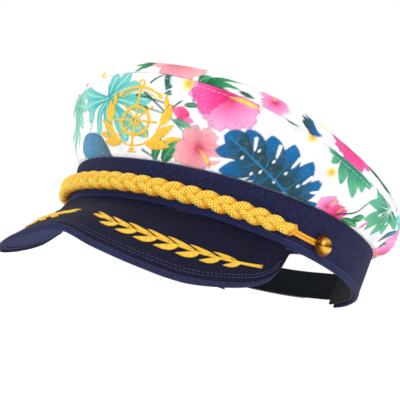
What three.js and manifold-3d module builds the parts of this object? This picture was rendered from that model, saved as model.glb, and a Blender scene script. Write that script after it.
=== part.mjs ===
// A captain hat, life size in millimetres, standing on a table as it stands by itself.
// It has a soft cloth crown (side panel and puffed top), a stiff cloth band that is open at the back,
// a black sweatband, a down-curved visor with a bound edge, a plaited cord held by two domed buttons,
// a snap strap across the back opening, and embroidery on the crown and the visor.
// The hat is drawn upright: the head ring lies in the XY plane, the front is -Y, +X is the wearer's left.
// The last section tips it back on to its visor and its band ends, with the table at z = 0.

import * as THREE from 'three';
import { mergeVertices } from 'three/addons/utils/BufferGeometryUtils.js';
import Module from 'manifold-3d';

const wasm = await Module();
wasm.setup();

// Driving dimensions: the head ring and the band.
const HEAD_HALF_WIDTH = 94.5; // outside of the band, at its lower edge
const HEAD_HALF_LENGTH = 95.5;
const BAND_HEIGHT_FRONT = 24.5;
const BAND_HEIGHT_SIDE = 28.5;
const BAND_HEIGHT_REAR = 36.5;
const BAND_FLARE = 2.2; // how far the band leans out over its height at the side
const BAND_WALL = 2.2;
const BAND_END_ANGLE = 151; // degrees from the front, on each side
const PIECE_GAP = 0.3; // between neighbouring pieces

// Sweatband inside the band.
const SWEATBAND_WALL = 1.2;
const SWEATBAND_SETBACK = 1.0; // its edges stop this far short of the band's edges
const STRAP_POCKET_START = 128; // degrees, where the sweatband starts to stand off for the strap's tail
const STRAP_POCKET_END = 140;

// Crown side panel and top panel.
const CLOTH = 1.6;
const SEAM_HALF_WIDTH = 112;
const SEAM_HALF_LENGTH = 107;
const SEAM_CENTRE_Y = -4;
const SEAM_HEIGHT_FRONT = 73;
const SEAM_HEIGHT_SIDE = 50;
const SEAM_HEIGHT_REAR = 42;
const SIDE_BULGE = 10; // how far the side panel's middle is drawn outwards
const SIDE_NECK_SHARE = 0.5; // how high the panel rises before it spreads, as a share of its height
const TOP_RISE = 21; // the puffed top over its seam
const TOP_DIP = 4; // the slack in its middle
const TOP_SHOULDER = 5.5; // roundness of the shoulder: higher is squarer

// Visor.
const VISOR_HALF_ANGLE = 68;
const VISOR_REACH = 41.5; // beyond the band at the front
const VISOR_DROP = 44; // lowest point below the band's lower edge
const VISOR_WALL = 2.4;
const VISOR_ARCH = 1.5;
const VISOR_TUCK = 2; // its inner edge lies this far under the band
const VISOR_END_WIDTH = 2.5;
const BINDING_WIDTH = 4.5;
const BINDING_THICKNESS = 3.6;

// The visor's outer edge from the front centre to its end: across as a share of the end's half-width,
// forward as a share of the way from the end to the front, down as a share of VISOR_DROP.
const VISOR_EDGE = [
  { around: 0.0, across: 0.0, forward: 1.0, down: 0.76 },
  { around: 0.2, across: 0.32, forward: 0.965, down: 0.9 },
  { around: 0.4, across: 0.6, forward: 0.85, down: 0.99 },
  { around: 0.6, across: 0.83, forward: 0.68, down: 1.0 },
  { around: 0.8, across: 1.0, forward: 0.42, down: 0.81 },
  { around: 0.9, across: 1.04, forward: 0.22, down: 0.56 },
  { around: 1.0, across: 1.01, forward: 0.0, down: 0.07 },
];

// Snap strap: the half with holes starts at the wearer's right, the half with studs at the left.
const STRAP_WALL = 1.2;
const STRAP_HEIGHT = 18.5;
const STRAP_LIFT = 5; // its lower edge above the band's lower edge
const STRAP_TAIL_ANGLE = 142; // degrees, where its tails end inside the band
const STRAP_BULGE = 2; // how much flatter than the head ring it runs at the middle of the back
const SNAP_PITCH = 11;
const SNAP_ROW = 6; // studs and holes
const SNAP_FIRST = -38; // the hole nearest the wearer's right, measured along X
const HOLE_RADIUS = 2.1;
const STUD_RADIUS = 1.75;
const STUD_HEAD_RADIUS = 2.6;
const STUD_HEAD_HEIGHT = 0.8;
const STRAP_TIP = 6; // from the last hole or stud to the strap's end

// Plaited cord and buttons.
const STRAND_RADIUS = 2.35;
const PLAIT_SWING = 3.0; // how far a strand goes above and below the middle
const PLAIT_DEPTH = 1.35; // how far a strand goes in and out at its crossings
const PLAIT_PERIOD = 29;
const PLAIT_HEIGHT = 8.6; // its middle above the band's lower edge, at the front
const PLAIT_END_ANGLE = 62;
const PLAIT_END_TAPER = 9;
const CORD_RADIUS = 1.0;
const CORD_SPREAD = 0.9;
const BUTTON_ANGLE = 76;
const BUTTON_HEIGHT = 9.2; // its centre above the band's lower edge
const BUTTON_RADIUS = 6.3;
const BUTTON_DOME = 3.8;
const BUTTON_STANDOFF = 3.2; // its rim above the band
const SHANK_RADIUS = 0.8;

// Embroidery: raised a little over its cloth.
const STITCH_RAISE = 0.9;
const EMBLEM_HALF_WIDTH = 31; // wreath
const EMBLEM_HALF_HEIGHT = 20;
const EMBLEM_LIFT = 0.42; // its middle, as a share of the side panel's height
const WHEEL_ROUND = 1.2; // the wheel is stitched this much wider than high
const ANCHOR_FOOT = -0.86; // as a share of the emblem's half-height
const ANCHOR_STOCK_REACH = 0.46; // as a share of its half-width
const ANCHOR_STOCK_LIFT = 0.78; // its ends, as a share of the half-height
const LEAF_SLIMNESS = 0.46; // leaf width as a share of its length
const LAUREL_LENGTH = 105; // each spray on the visor
const LAUREL_START = 0.045; // its tip, as a share of the way round to the visor's end
const LAUREL_LINE = 0.58; // its stem, as a share of the visor's width
const LAUREL_LEAF = 12.5;
const LAUREL_PAIRS = 7;

// Leaves of half the wreath. Feet and tips are shares of EMBLEM_HALF_WIDTH and EMBLEM_HALF_HEIGHT from
// the wheel's centre, and slimness is the leaf's width as a share of its length.
const WREATH_LEAVES = [
  { foot: [0.27, -0.61], tip: [0.88, -0.62], slimness: 0.33 },
  { foot: [0.55, -0.56], tip: [1.08, -0.32], slimness: 0.22 },
  { foot: [0.45, -0.52], tip: [0.865, 0.03], slimness: 0.34 },
  { foot: [0.6, -0.08], tip: [0.74, 0.63], slimness: 0.42 },
  { foot: [0.62, 0.45], tip: [0.6, 0.86], slimness: 0.42 },
];

const FUSE_TOLERANCE = 0.4; // details finer than this are dropped where solids are fused

const rad = THREE.MathUtils.degToRad;
const lerp = THREE.MathUtils.lerp;

// Makes one mesh from triangles: equal corners are joined, and the faces are turned to point out.
function solidFrom(corners) {
  const geometry = new THREE.BufferGeometry();
  const values = corners.flatMap((p) => [p.x, p.y, p.z]);
  geometry.setAttribute('position', new THREE.Float32BufferAttribute(values, 3));
  const joined = mergeVertices(geometry, 1e-4);
  const position = joined.attributes.position;
  const index = Array.from(joined.index.array);
  const point = (i) => new THREE.Vector3().fromBufferAttribute(position, i);
  const kept = [];
  let volume = 0;
  for (let i = 0; i < index.length; i += 3) {
    const [a, b, c] = [index[i], index[i + 1], index[i + 2]];
    if (a === b || b === c || c === a) continue;
    kept.push(a, b, c);
    volume += point(a).dot(point(b).cross(point(c)));
  }
  if (volume < 0) {
    for (let i = 0; i < kept.length; i += 3) [kept[i], kept[i + 1]] = [kept[i + 1], kept[i]];
  }
  joined.setIndex(kept);
  return joined;
}

// Corners of two triangles for the quad a, b, c, d.
function quad(a, b, c, d) {
  return [a, b, c, a, c, d];
}

// A wall through sections. Each section has an outer and an inner row of points, as many in each.
function wall(sections, closed) {
  const corners = [];
  const last = closed ? sections.length : sections.length - 1;
  for (let i = 0; i < last; i += 1) {
    const from = sections[i];
    const to = sections[(i + 1) % sections.length];
    const rows = from.outer.length - 1;
    for (let j = 0; j < rows; j += 1) {
      corners.push(...quad(from.outer[j], to.outer[j], to.outer[j + 1], from.outer[j + 1]));
      corners.push(...quad(from.inner[j + 1], to.inner[j + 1], to.inner[j], from.inner[j]));
    }
    corners.push(...quad(from.inner[0], to.inner[0], to.outer[0], from.outer[0]));
    corners.push(...quad(from.outer[rows], to.outer[rows], to.inner[rows], from.inner[rows]));
  }
  if (!closed) {
    for (const [section, flip] of [[sections[0], false], [sections[sections.length - 1], true]]) {
      for (let j = 0; j < section.outer.length - 1; j += 1) {
        const cap = [section.outer[j], section.outer[j + 1], section.inner[j + 1], section.inner[j]];
        corners.push(...(flip ? quad(...cap.reverse()) : quad(...cap)));
      }
    }
  }
  return solidFrom(corners);
}

// A round tube along a list of points, with flat ends.
function tube(points, radius, sides, up) {
  const sections = points.map((p, i) => {
    const ahead = points[Math.min(i + 1, points.length - 1)].clone().sub(points[Math.max(i - 1, 0)]);
    const side = new THREE.Vector3().crossVectors(ahead.normalize(), up(i)).normalize();
    const over = new THREE.Vector3().crossVectors(side, ahead);
    return Array.from({ length: sides }, (_, k) => {
      const turn = (2 * Math.PI * k) / sides;
      const [across, away] = [radius * Math.cos(turn), radius * Math.sin(turn)];
      return p.clone().addScaledVector(side, across).addScaledVector(over, away);
    });
  });
  const corners = [];
  for (let i = 0; i < sections.length - 1; i += 1) {
    for (let k = 0; k < sides; k += 1) {
      const next = (k + 1) % sides;
      corners.push(...quad(sections[i][k], sections[i][next], sections[i + 1][next], sections[i + 1][k]));
    }
  }
  const first = sections[0];
  const end = sections[sections.length - 1];
  for (let k = 1; k < sides - 1; k += 1) {
    corners.push(first[0], first[k + 1], first[k], end[0], end[k], end[k + 1]);
  }
  return solidFrom(corners);
}

// Between three.js geometry and manifold-3d solids.
function toManifold(geometry) {
  const bare = geometry.clone();
  for (const name of Object.keys(bare.attributes)) if (name !== 'position') bare.deleteAttribute(name);
  const joined = mergeVertices(bare, 1e-4);
  return new wasm.Manifold(new wasm.Mesh({
    numProp: 3,
    vertProperties: new Float32Array(joined.attributes.position.array),
    triVerts: new Uint32Array(joined.index.array),
  }));
}
function fromManifold(solid) {
  const mesh = solid.getMesh();
  const geometry = new THREE.BufferGeometry();
  geometry.setAttribute('position', new THREE.BufferAttribute(new Float32Array(mesh.vertProperties), 3));
  geometry.setIndex(Array.from(mesh.triVerts));
  return geometry;
}
function fuse(geometries) {
  return fromManifold(geometries.map(toManifold).reduce((all, one) => all.add(one)).simplify(FUSE_TOLERANCE));
}

// The head ring. Angles are in degrees from the front centre, positive towards the wearer's left.
function bandHeight(angle) {
  const c = Math.cos(rad(angle));
  return lerp(BAND_HEIGHT_SIDE, c > 0 ? BAND_HEIGHT_FRONT : BAND_HEIGHT_REAR, c * c);
}
function outward(angle) {
  const [across, ahead] = [Math.sin(rad(angle)), Math.cos(rad(angle))];
  return new THREE.Vector3(across / HEAD_HALF_WIDTH, -ahead / HEAD_HALF_LENGTH, 0).normalize();
}
function ring(angle, offset, z) {
  const [across, ahead] = [Math.sin(rad(angle)), Math.cos(rad(angle))];
  const base = new THREE.Vector3(HEAD_HALF_WIDTH * across, -HEAD_HALF_LENGTH * ahead, z);
  return base.addScaledVector(outward(angle), offset + (BAND_FLARE * z) / BAND_HEIGHT_SIDE);
}
function angles(from, to, count) {
  return Array.from({ length: count + 1 }, (_, i) => lerp(from, to, i / count));
}

// Band: a stiff wall, open at the back.
function band() {
  const sections = angles(-BAND_END_ANGLE, BAND_END_ANGLE, 46).map((angle) => {
    const top = bandHeight(angle);
    return {
      outer: [ring(angle, 0, 0), ring(angle, 0, top)],
      inner: [ring(angle, -BAND_WALL, 0), ring(angle, -BAND_WALL, top)],
    };
  });
  return wall(sections, false);
}

// Sweatband: follows the band inside and stands off at the ends, where the strap's tails are sewn in.
function sweatbandOffset(angle) {
  const share = THREE.MathUtils.smoothstep(Math.abs(angle), STRAP_POCKET_START, STRAP_POCKET_END);
  return -(BAND_WALL + PIECE_GAP + share * (STRAP_WALL + 1.6 * PIECE_GAP));
}
function sweatband() {
  const sections = angles(-BAND_END_ANGLE, BAND_END_ANGLE, 46).map((angle) => {
    const low = SWEATBAND_SETBACK;
    const top = bandHeight(angle) - SWEATBAND_SETBACK;
    const face = sweatbandOffset(angle);
    return {
      outer: [ring(angle, face, low), ring(angle, face, top)],
      inner: [ring(angle, face - SWEATBAND_WALL, low), ring(angle, face - SWEATBAND_WALL, top)],
    };
  });
  return wall(sections, false);
}

// Crown: the seam joins the side panel to the top. It is highest at the front.
function seamHeight(forward) {
  const tilt = (SEAM_HEIGHT_FRONT - SEAM_HEIGHT_REAR) / 2;
  const bow = (SEAM_HEIGHT_FRONT + SEAM_HEIGHT_REAR) / 2 - SEAM_HEIGHT_SIDE;
  return SEAM_HEIGHT_SIDE + tilt * forward + bow * forward * forward;
}
function seamPoint(angle, share) {
  const across = SEAM_HALF_WIDTH * share * Math.sin(rad(angle));
  const forward = share * Math.cos(rad(angle));
  return new THREE.Vector3(across, SEAM_CENTRE_Y - SEAM_HALF_LENGTH * forward, seamHeight(forward));
}
const seamInside = 1 - CLOTH / SEAM_HALF_LENGTH;
function sidePoint(angle, up) {
  const base = ring(angle, 0, bandHeight(angle) + PIECE_GAP);
  const seam = seamPoint(angle, 1);
  const pull = base.clone().addScaledVector(outward(angle), SIDE_BULGE);
  pull.z = lerp(base.z, seam.z, SIDE_NECK_SHARE);
  const low = base.clone().lerp(pull, up);
  return low.lerp(pull.lerp(seam, up), up);
}
function topPoint(angle, turn) {
  const share = Math.sin(turn) ** (2 / TOP_SHOULDER);
  const point = seamPoint(angle, share);
  point.z += PIECE_GAP + TOP_RISE * Math.cos(turn) - TOP_DIP * (1 - share * share) ** 2;
  return point;
}

// The surface's outward direction at (angle, along), from small steps both ways.
function normalOf(surface, angle, along, step) {
  const around = surface(angle + 0.5, along).sub(surface(angle - 0.5, along));
  const rise = surface(angle, along + step).sub(surface(angle, along - step));
  return around.cross(rise).normalize();
}

function crownSide() {
  const rows = [0, 0.2, 0.4, 0.6, 0.8, 1];
  const sections = angles(0, 360, 46).slice(0, -1).map((angle) => ({
    outer: rows.map((up) => sidePoint(angle, up)),
    inner: rows.map((up) => {
      if (up === 1) return seamPoint(angle, seamInside);
      const inwards = up === 0 ? outward(angle) : normalOf(sidePoint, angle, up, 0.02);
      return sidePoint(angle, up).addScaledVector(inwards, -CLOTH);
    }),
  }));
  return wall(sections, true);
}

function crownTop() {
  const turns = [90, 70, 50, 32, 15, 0].map(rad);
  const centre = topPoint(0, 0);
  const under = centre.clone().add(new THREE.Vector3(0, 0, -CLOTH));
  const sections = angles(0, 360, 46).slice(0, -1).map((angle) => ({
    outer: turns.map((turn) => (turn === 0 ? centre : topPoint(angle, turn))),
    inner: turns.map((turn) => {
      if (turn === 0) return under;
      if (turn === turns[0]) return seamPoint(angle, seamInside).add(new THREE.Vector3(0, 0, PIECE_GAP));
      return topPoint(angle, turn).addScaledVector(normalOf(topPoint, angle, turn, -0.02), -CLOTH);
    }),
  }));
  return wall(sections, true);
}

// Visor: ruled from the band's lower edge to its outer edge, with a light arch between.
const visorEnd = ring(VISOR_HALF_ANGLE, 0, 0);
const visorFront = HEAD_HALF_LENGTH + VISOR_REACH + visorEnd.y;
function edgePoint(row, side) {
  return new THREE.Vector3(
    side * row.across * visorEnd.x,
    visorEnd.y - row.forward * visorFront,
    -row.down * VISOR_DROP,
  );
}
const visorRows = [
  ...VISOR_EDGE.slice(1).reverse().map((row) => ({ around: -row.around, point: edgePoint(row, -1) })),
  ...VISOR_EDGE.map((row) => ({ around: row.around, point: edgePoint(row, 1) })),
];
const visorCurve = new THREE.CatmullRomCurve3(visorRows.map((row) => row.point), false, 'catmullrom', 0.5);
function visorEdge(around) {
  let i = 0;
  while (i < visorRows.length - 2 && around > visorRows[i + 1].around) i += 1;
  const share = (around - visorRows[i].around) / (visorRows[i + 1].around - visorRows[i].around);
  return visorCurve.getPoint((i + share) / (visorRows.length - 1));
}
function visorSurface(around, out) {
  const angle = around * VISOR_HALF_ANGLE;
  const start = ring(angle, -VISOR_TUCK, 0);
  start.z = -PIECE_GAP;
  const end = visorEdge(around);
  const reach = Math.hypot(end.x - start.x, end.y - start.y);
  end.addScaledVector(outward(angle), Math.max(0, VISOR_END_WIDTH - reach / 2));
  const point = start.lerp(end, out);
  point.z += VISOR_ARCH * 4 * out * (1 - out) * Math.min(1, reach / VISOR_REACH);
  return point;
}
function visorNormal(around, out) {
  const before = visorSurface(Math.max(around - 0.01, -1), out);
  const along = visorSurface(Math.min(around + 0.01, 1), out).sub(before);
  const across = visorSurface(around, out + 0.02).sub(visorSurface(around, out - 0.02));
  return across.cross(along).normalize();
}
function visorOffset(around, out, raise) {
  return visorSurface(around, out).addScaledVector(visorNormal(around, out), raise);
}
function visorWidth(around) {
  return visorSurface(around, 0).distanceTo(visorSurface(around, 1));
}
// Places round the visor, closer together towards its ends, where it turns down most.
const visorPlaces = angles(-90, 90, 34).map((turn) => Math.sin(rad(turn)));
function visor() {
  const sections = visorPlaces.map((around) => {
    const width = visorWidth(around);
    const end = width / (width + BINDING_WIDTH);
    const steps = [0, 0.33, 0.67, 1].map((share) => share * end);
    return {
      outer: steps.map((out) => visorSurface(around, out)),
      inner: steps.map((out) => visorOffset(around, out, -VISOR_WALL)),
    };
  });
  return wall(sections, false);
}

// Bound edge of the visor: a folded strip round its outer edge.
function binding() {
  const sections = visorPlaces.map((around) => {
    const width = visorWidth(around);
    const start = width / (width + BINDING_WIDTH) + (3 * PIECE_GAP) / width;
    const steps = [start, lerp(start, 1, 0.5), 1];
    const over = (BINDING_THICKNESS - VISOR_WALL) / 2;
    const raise = [over * 0.6, over, 0];
    return {
      outer: steps.map((out, i) => visorOffset(around, out, raise[i])),
      inner: steps.map((out, i) => visorOffset(around, out, -VISOR_WALL - raise[i])),
    };
  });
  return wall(sections, false);
}

// Snap strap. A place on it is measured by X; side is +1 for the half from the wearer's left.
const bandEndX = ring(BAND_END_ANGLE, -BAND_WALL - PIECE_GAP, 0).x;
const holesTip = SNAP_FIRST + SNAP_PITCH * (SNAP_ROW - 1) + STRAP_TIP;
const studsTip = SNAP_FIRST + SNAP_PITCH - STRAP_TIP;
function strapPoint(x, inset, z) {
  const reach = x / (HEAD_HALF_WIDTH - BAND_WALL);
  const angle = 180 - THREE.MathUtils.radToDeg(Math.asin(reach));
  const flatten = Math.max(0, 1 - (x / bandEndX) ** 2);
  return ring(angle, -(BAND_WALL + 1.4 * PIECE_GAP) - STRAP_BULGE * flatten - inset, z);
}
function studsInset(x) {
  return (STRAP_WALL + 1.4 * PIECE_GAP) * (1 - THREE.MathUtils.smoothstep(x, holesTip + 1, bandEndX - 3));
}
function strapHalf(tail, tip, insetAt) {
  const corner = STRAP_HEIGHT * 0.4;
  const heading = Math.sign(tip - tail);
  const run = angles(tail, tip - heading * corner, 12);
  for (const turn of [30, 60, 90]) run.push(tip - heading * corner * (1 - Math.sin(rad(turn))));
  const sections = run.map((x) => {
    const past = Math.max(0, 1 - Math.abs(tip - x) / corner);
    const trim = corner * (1 - Math.sqrt(1 - past * past));
    const low = STRAP_LIFT + trim;
    const top = STRAP_LIFT + STRAP_HEIGHT - trim;
    const inset = insetAt(x);
    return {
      outer: [strapPoint(x, inset, low), strapPoint(x, inset, top)],
      inner: [strapPoint(x, inset + STRAP_WALL, low), strapPoint(x, inset + STRAP_WALL, top)],
    };
  });
  return wall(sections, false);
}
// A round peg along the strap's outward direction at x, from one inset to another.
function peg(x, radius, from, to) {
  const z = STRAP_LIFT + STRAP_HEIGHT / 2;
  const start = strapPoint(x, from, z);
  const end = strapPoint(x, to, z);
  const geometry = new THREE.CylinderGeometry(radius, radius, start.distanceTo(end), 10);
  const turn = new THREE.Quaternion().setFromUnitVectors(
    new THREE.Vector3(0, 1, 0),
    end.clone().sub(start).normalize(),
  );
  const middle = start.lerp(end, 0.5);
  return geometry.applyQuaternion(turn).translate(middle.x, middle.y, middle.z);
}
const strapTail = HEAD_HALF_WIDTH * Math.sin(rad(STRAP_TAIL_ANGLE)) - BAND_WALL;
function strapWithHoles() {
  const plate = toManifold(strapHalf(-strapTail, holesTip, () => 0));
  const holes = Array.from({ length: SNAP_ROW }, (_, i) => (
    toManifold(peg(SNAP_FIRST + i * SNAP_PITCH, HOLE_RADIUS, STRAP_WALL + 1, -1))
  ));
  return fromManifold(holes.reduce((left, hole) => left.subtract(hole), plate));
}
function strapWithStuds() {
  const pieces = [strapHalf(strapTail, studsTip, studsInset)];
  for (let i = 1; i <= SNAP_ROW; i += 1) {
    const x = SNAP_FIRST + i * SNAP_PITCH;
    const foot = studsInset(x) + STRAP_WALL / 2;
    const under = studsInset(x) - (STRAP_WALL + 3 * PIECE_GAP);
    pieces.push(peg(x, STUD_RADIUS, foot, under - STUD_HEAD_HEIGHT / 2));
    pieces.push(peg(x, STUD_HEAD_RADIUS, under, under - STUD_HEAD_HEIGHT));
  }
  return fuse(pieces);
}

// Plaited cord: three strands swing up and down and pass over each other, and thin out at the ends.
const perDegree = rad(1) * (HEAD_HALF_WIDTH + HEAD_HALF_LENGTH) / 2;
function plaitLift(angle) {
  return lerp(PLAIT_HEIGHT, BUTTON_HEIGHT, (angle / BUTTON_ANGLE) ** 2);
}
function strand(phase) {
  const steps = angles(-PLAIT_END_ANGLE, PLAIT_END_ANGLE, 31);
  const points = steps.map((angle) => {
    const turn = (2 * Math.PI * angle * perDegree) / PLAIT_PERIOD + phase;
    const left = (PLAIT_END_ANGLE - Math.abs(angle)) / PLAIT_END_TAPER;
    const swing = PLAIT_SWING * Math.min(1, 0.25 + 0.75 * left);
    const depth = PLAIT_DEPTH + STRAND_RADIUS + PIECE_GAP + PLAIT_DEPTH * Math.sin(2 * turn);
    return ring(angle, depth, plaitLift(angle) + swing * Math.sin(turn));
  });
  return tube(points, STRAND_RADIUS, 4, (i) => outward(steps[i]));
}
function cord(side, spread) {
  const stop = BUTTON_ANGLE - (SHANK_RADIUS + 2 * PIECE_GAP + CORD_RADIUS) / perDegree;
  const steps = angles(PLAIT_END_ANGLE - 4, stop, 4).map((angle) => side * angle);
  const points = steps.map((angle, i) => {
    const depth = lerp(PLAIT_DEPTH + STRAND_RADIUS, CORD_RADIUS, Math.min(1, i / 3)) + PIECE_GAP;
    return ring(angle, depth, plaitLift(angle) + spread * CORD_SPREAD);
  });
  return tube(points, CORD_RADIUS, 4, (i) => outward(steps[i]));
}
// A core fills the hollow between the strands.
function plaitCore() {
  const steps = angles(2 - PLAIT_END_ANGLE, PLAIT_END_ANGLE - 2, 24);
  const points = steps.map((angle) => ring(angle, PLAIT_DEPTH + STRAND_RADIUS + PIECE_GAP, plaitLift(angle)));
  return tube(points, STRAND_RADIUS * 0.9, 4, (i) => outward(steps[i]));
}
function plait() {
  const pieces = [0, 120, 240].map((degrees) => strand(rad(degrees)));
  pieces.push(plaitCore());
  for (const side of [-1, 1]) pieces.push(cord(side, 1), cord(side, -1));
  return fuse(pieces);
}

// Domed button on a shank.
function button(side) {
  const rim = BUTTON_STANDOFF;
  const dome = [90, 68, 46, 23].map(rad).map((turn) => (
    new THREE.Vector2(BUTTON_RADIUS * Math.sin(turn), rim + BUTTON_DOME * Math.cos(turn))
  ));
  const profile = [
    new THREE.Vector2(0, PIECE_GAP),
    new THREE.Vector2(SHANK_RADIUS, PIECE_GAP),
    new THREE.Vector2(SHANK_RADIUS, rim - 0.5),
    new THREE.Vector2(BUTTON_RADIUS - 0.6, rim - 0.5),
    ...dome,
    new THREE.Vector2(0, rim + BUTTON_DOME),
  ];
  const geometry = new THREE.LatheGeometry(profile, 14);
  const axis = new THREE.Vector3(0, 1, 0);
  const turn = new THREE.Quaternion().setFromUnitVectors(axis, outward(side * BUTTON_ANGLE));
  const place = ring(side * BUTTON_ANGLE, 0, BUTTON_HEIGHT);
  return geometry.applyQuaternion(turn).translate(place.x, place.y, place.z);
}

// Embroidery is drawn flat, in millimetres, and then laid on its cloth.
function plate(points) {
  const shape = new THREE.Shape(points);
  return toManifold(new THREE.ExtrudeGeometry(shape, { depth: STITCH_RAISE, bevelEnabled: false }));
}
function leaf(x, y, direction, length, slimness = LEAF_SLIMNESS) {
  const half = (length * slimness) / 2;
  const side = Array.from({ length: 3 }, (_, i) => i / 3);
  const upper = side.map((t) => new THREE.Vector2(t * length, half * Math.sin(Math.PI * t ** 0.8)));
  const lower = side.map((t) => 1 - t).map((t) => (
    new THREE.Vector2(t * length, -half * Math.sin(Math.PI * t ** 0.8))
  ));
  return plate([...upper, ...lower].map((p) => (
    p.rotateAround(new THREE.Vector2(), direction).add(new THREE.Vector2(x, y))
  )));
}
// A stroke of even width along a curve, or straight between two places.
function stroke(curve, width, count) {
  const spots = Array.from({ length: count + 1 }, (_, i) => i / count);
  const edge = (side) => spots.map((t) => {
    const ahead = curve.getTangent(t);
    return curve.getPoint(t).add(new THREE.Vector2(-ahead.y, ahead.x).multiplyScalar((side * width) / 2));
  });
  return plate([...edge(-1), ...edge(1).reverse()]);
}
function bar(from, to, width, count) {
  return stroke(new THREE.LineCurve(new THREE.Vector2(...from), new THREE.Vector2(...to)), width, count);
}
function oval(x, y, width, height) {
  const turns = Array.from({ length: 16 }, (_, i) => (Math.PI * i) / 8);
  return plate(turns.map((turn) => (
    new THREE.Vector2(x + width * Math.cos(turn), y + height * Math.sin(turn))
  )));
}
function hoop(x, y, width, height, thick) {
  return oval(x, y, width, height).subtract(oval(x, y, width - thick, height - thick));
}
// Puts a flat drawing on a surface; place gives the point for (x, y) and its outward direction.
function lay(drawing, place) {
  const geometry = fromManifold(drawing.simplify(FUSE_TOLERANCE / 2).refineToLength(18));
  const position = geometry.attributes.position;
  for (let i = 0; i < position.count; i += 1) {
    const { point, normal } = place(position.getX(i), position.getY(i));
    point.addScaledVector(normal, 2.2 * PIECE_GAP + position.getZ(i));
    position.setXYZ(i, point.x, point.y, point.z);
  }
  return geometry;
}

// Anchor behind a ship's wheel, inside a wreath of two branches.
function emblem() {
  const high = EMBLEM_HALF_HEIGHT;
  const wide = EMBLEM_HALF_WIDTH;
  const wheel = 0.45 * high;
  const pieces = [];
  const [foot, end, bow] = [ANCHOR_FOOT * high, ANCHOR_STOCK_REACH * wide, ANCHOR_STOCK_LIFT * high];
  pieces.push(hoop(0, 1.12 * high, 0.14 * high, 0.14 * high, 0.07 * high));
  pieces.push(bar([0, high], [0, foot], 0.1 * high, 4));
  pieces.push(bar([-0.17 * high, foot], [0.17 * high, foot], 0.1 * high, 1));
  const stock = new THREE.QuadraticBezierCurve(
    new THREE.Vector2(-end, bow),
    new THREE.Vector2(0, 2 * high - bow),
    new THREE.Vector2(end, bow),
  );
  pieces.push(stroke(stock, 0.1 * high, 8));
  for (const side of [-1, 1]) pieces.push(oval(side * end, bow, 0.1 * high, 0.1 * high));
  pieces.push(hoop(0, 0, wheel * WHEEL_ROUND, wheel, 0.11 * high));
  pieces.push(oval(0, 0, 0.16 * high * WHEEL_ROUND, 0.16 * high));
  for (let i = 0; i < 4; i += 1) {
    const turn = (Math.PI * i) / 4;
    const [x, y] = [wheel * 1.42 * WHEEL_ROUND * Math.cos(turn), wheel * 1.42 * Math.sin(turn)];
    pieces.push(bar([-x, -y], [x, y], 0.075 * high, 2));
  }
  for (const side of [-1, 1]) {
    const branch = new THREE.QuadraticBezierCurve(
      new THREE.Vector2(0, -0.71 * high),
      new THREE.Vector2(side * 0.62 * wide, -0.72 * high),
      new THREE.Vector2(side * 0.62 * wide, 0.5 * high),
    );
    pieces.push(stroke(branch, 0.055 * high, 8));
    for (const { foot, tip, slimness } of WREATH_LEAVES) {
      const [x, y] = [side * foot[0] * wide, foot[1] * high];
      const [ahead, up] = [side * tip[0] * wide - x, tip[1] * high - y];
      pieces.push(leaf(x, y, Math.atan2(up, ahead), Math.hypot(ahead, up), slimness));
    }
  }
  const drawing = pieces.reduce((all, one) => all.add(one));
  const perUp = sidePoint(0, 0).distanceTo(sidePoint(0, 1));
  const nearAngle = rad(1) * (HEAD_HALF_WIDTH + SIDE_BULGE);
  return lay(drawing, (x, y) => {
    const angle = x / nearAngle;
    const up = EMBLEM_LIFT + y / perUp;
    return { point: sidePoint(angle, up), normal: normalOf(sidePoint, angle, up, 0.02) };
  });
}

// Laurel spray on one side of the visor, its tip near the front centre.
function laurel(side) {
  const pieces = [bar([2, 0], [LAUREL_LENGTH, 0], 1.1, 10)];
  const pitch = (LAUREL_LENGTH - 1.7 * LAUREL_LEAF) / (LAUREL_PAIRS - 0.5);
  for (let i = 0; i < LAUREL_PAIRS; i += 1) {
    const size = LAUREL_LEAF * (0.72 + 0.28 * Math.sin((Math.PI * (i + 0.5)) / LAUREL_PAIRS));
    const x = LAUREL_LEAF + i * pitch;
    pieces.push(leaf(x, 0, Math.PI - 0.6, size), leaf(x + pitch / 2, 0, Math.PI + 0.6, size));
  }
  pieces.push(leaf(LAUREL_LEAF * 0.75, 0, Math.PI, LAUREL_LEAF * 0.75));
  const drawing = pieces.reduce((all, one) => all.add(one));
  const half = angles(0, 1, 40).map((around) => visorSurface(around, LAUREL_LINE));
  const run = half.map((p, i) => (i === 0 ? 0 : p.distanceTo(half[i - 1])));
  for (let i = 1; i < run.length; i += 1) run[i] += run[i - 1];
  return lay(side > 0 ? drawing : drawing.mirror([1, 0, 0]), (x, y) => {
    const reach = LAUREL_START * run[run.length - 1] + Math.abs(x);
    const i = Math.min(run.findIndex((length) => length > reach), run.length - 1);
    const around = (i - 1 + (reach - run[i - 1]) / (run[i] - run[i - 1])) / 40;
    const out = LAUREL_LINE - y / visorWidth(around);
    return { point: visorSurface(side * around, out), normal: visorNormal(side * around, out) };
  });
}

const hat = new THREE.Group();
function add(name, geometry, material) {
  const mesh = new THREE.Mesh(geometry, material);
  mesh.name = name;
  hat.add(mesh);
}
function paint(color, roughness, metalness) {
  return new THREE.MeshStandardMaterial({ color, roughness, metalness });
}

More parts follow.
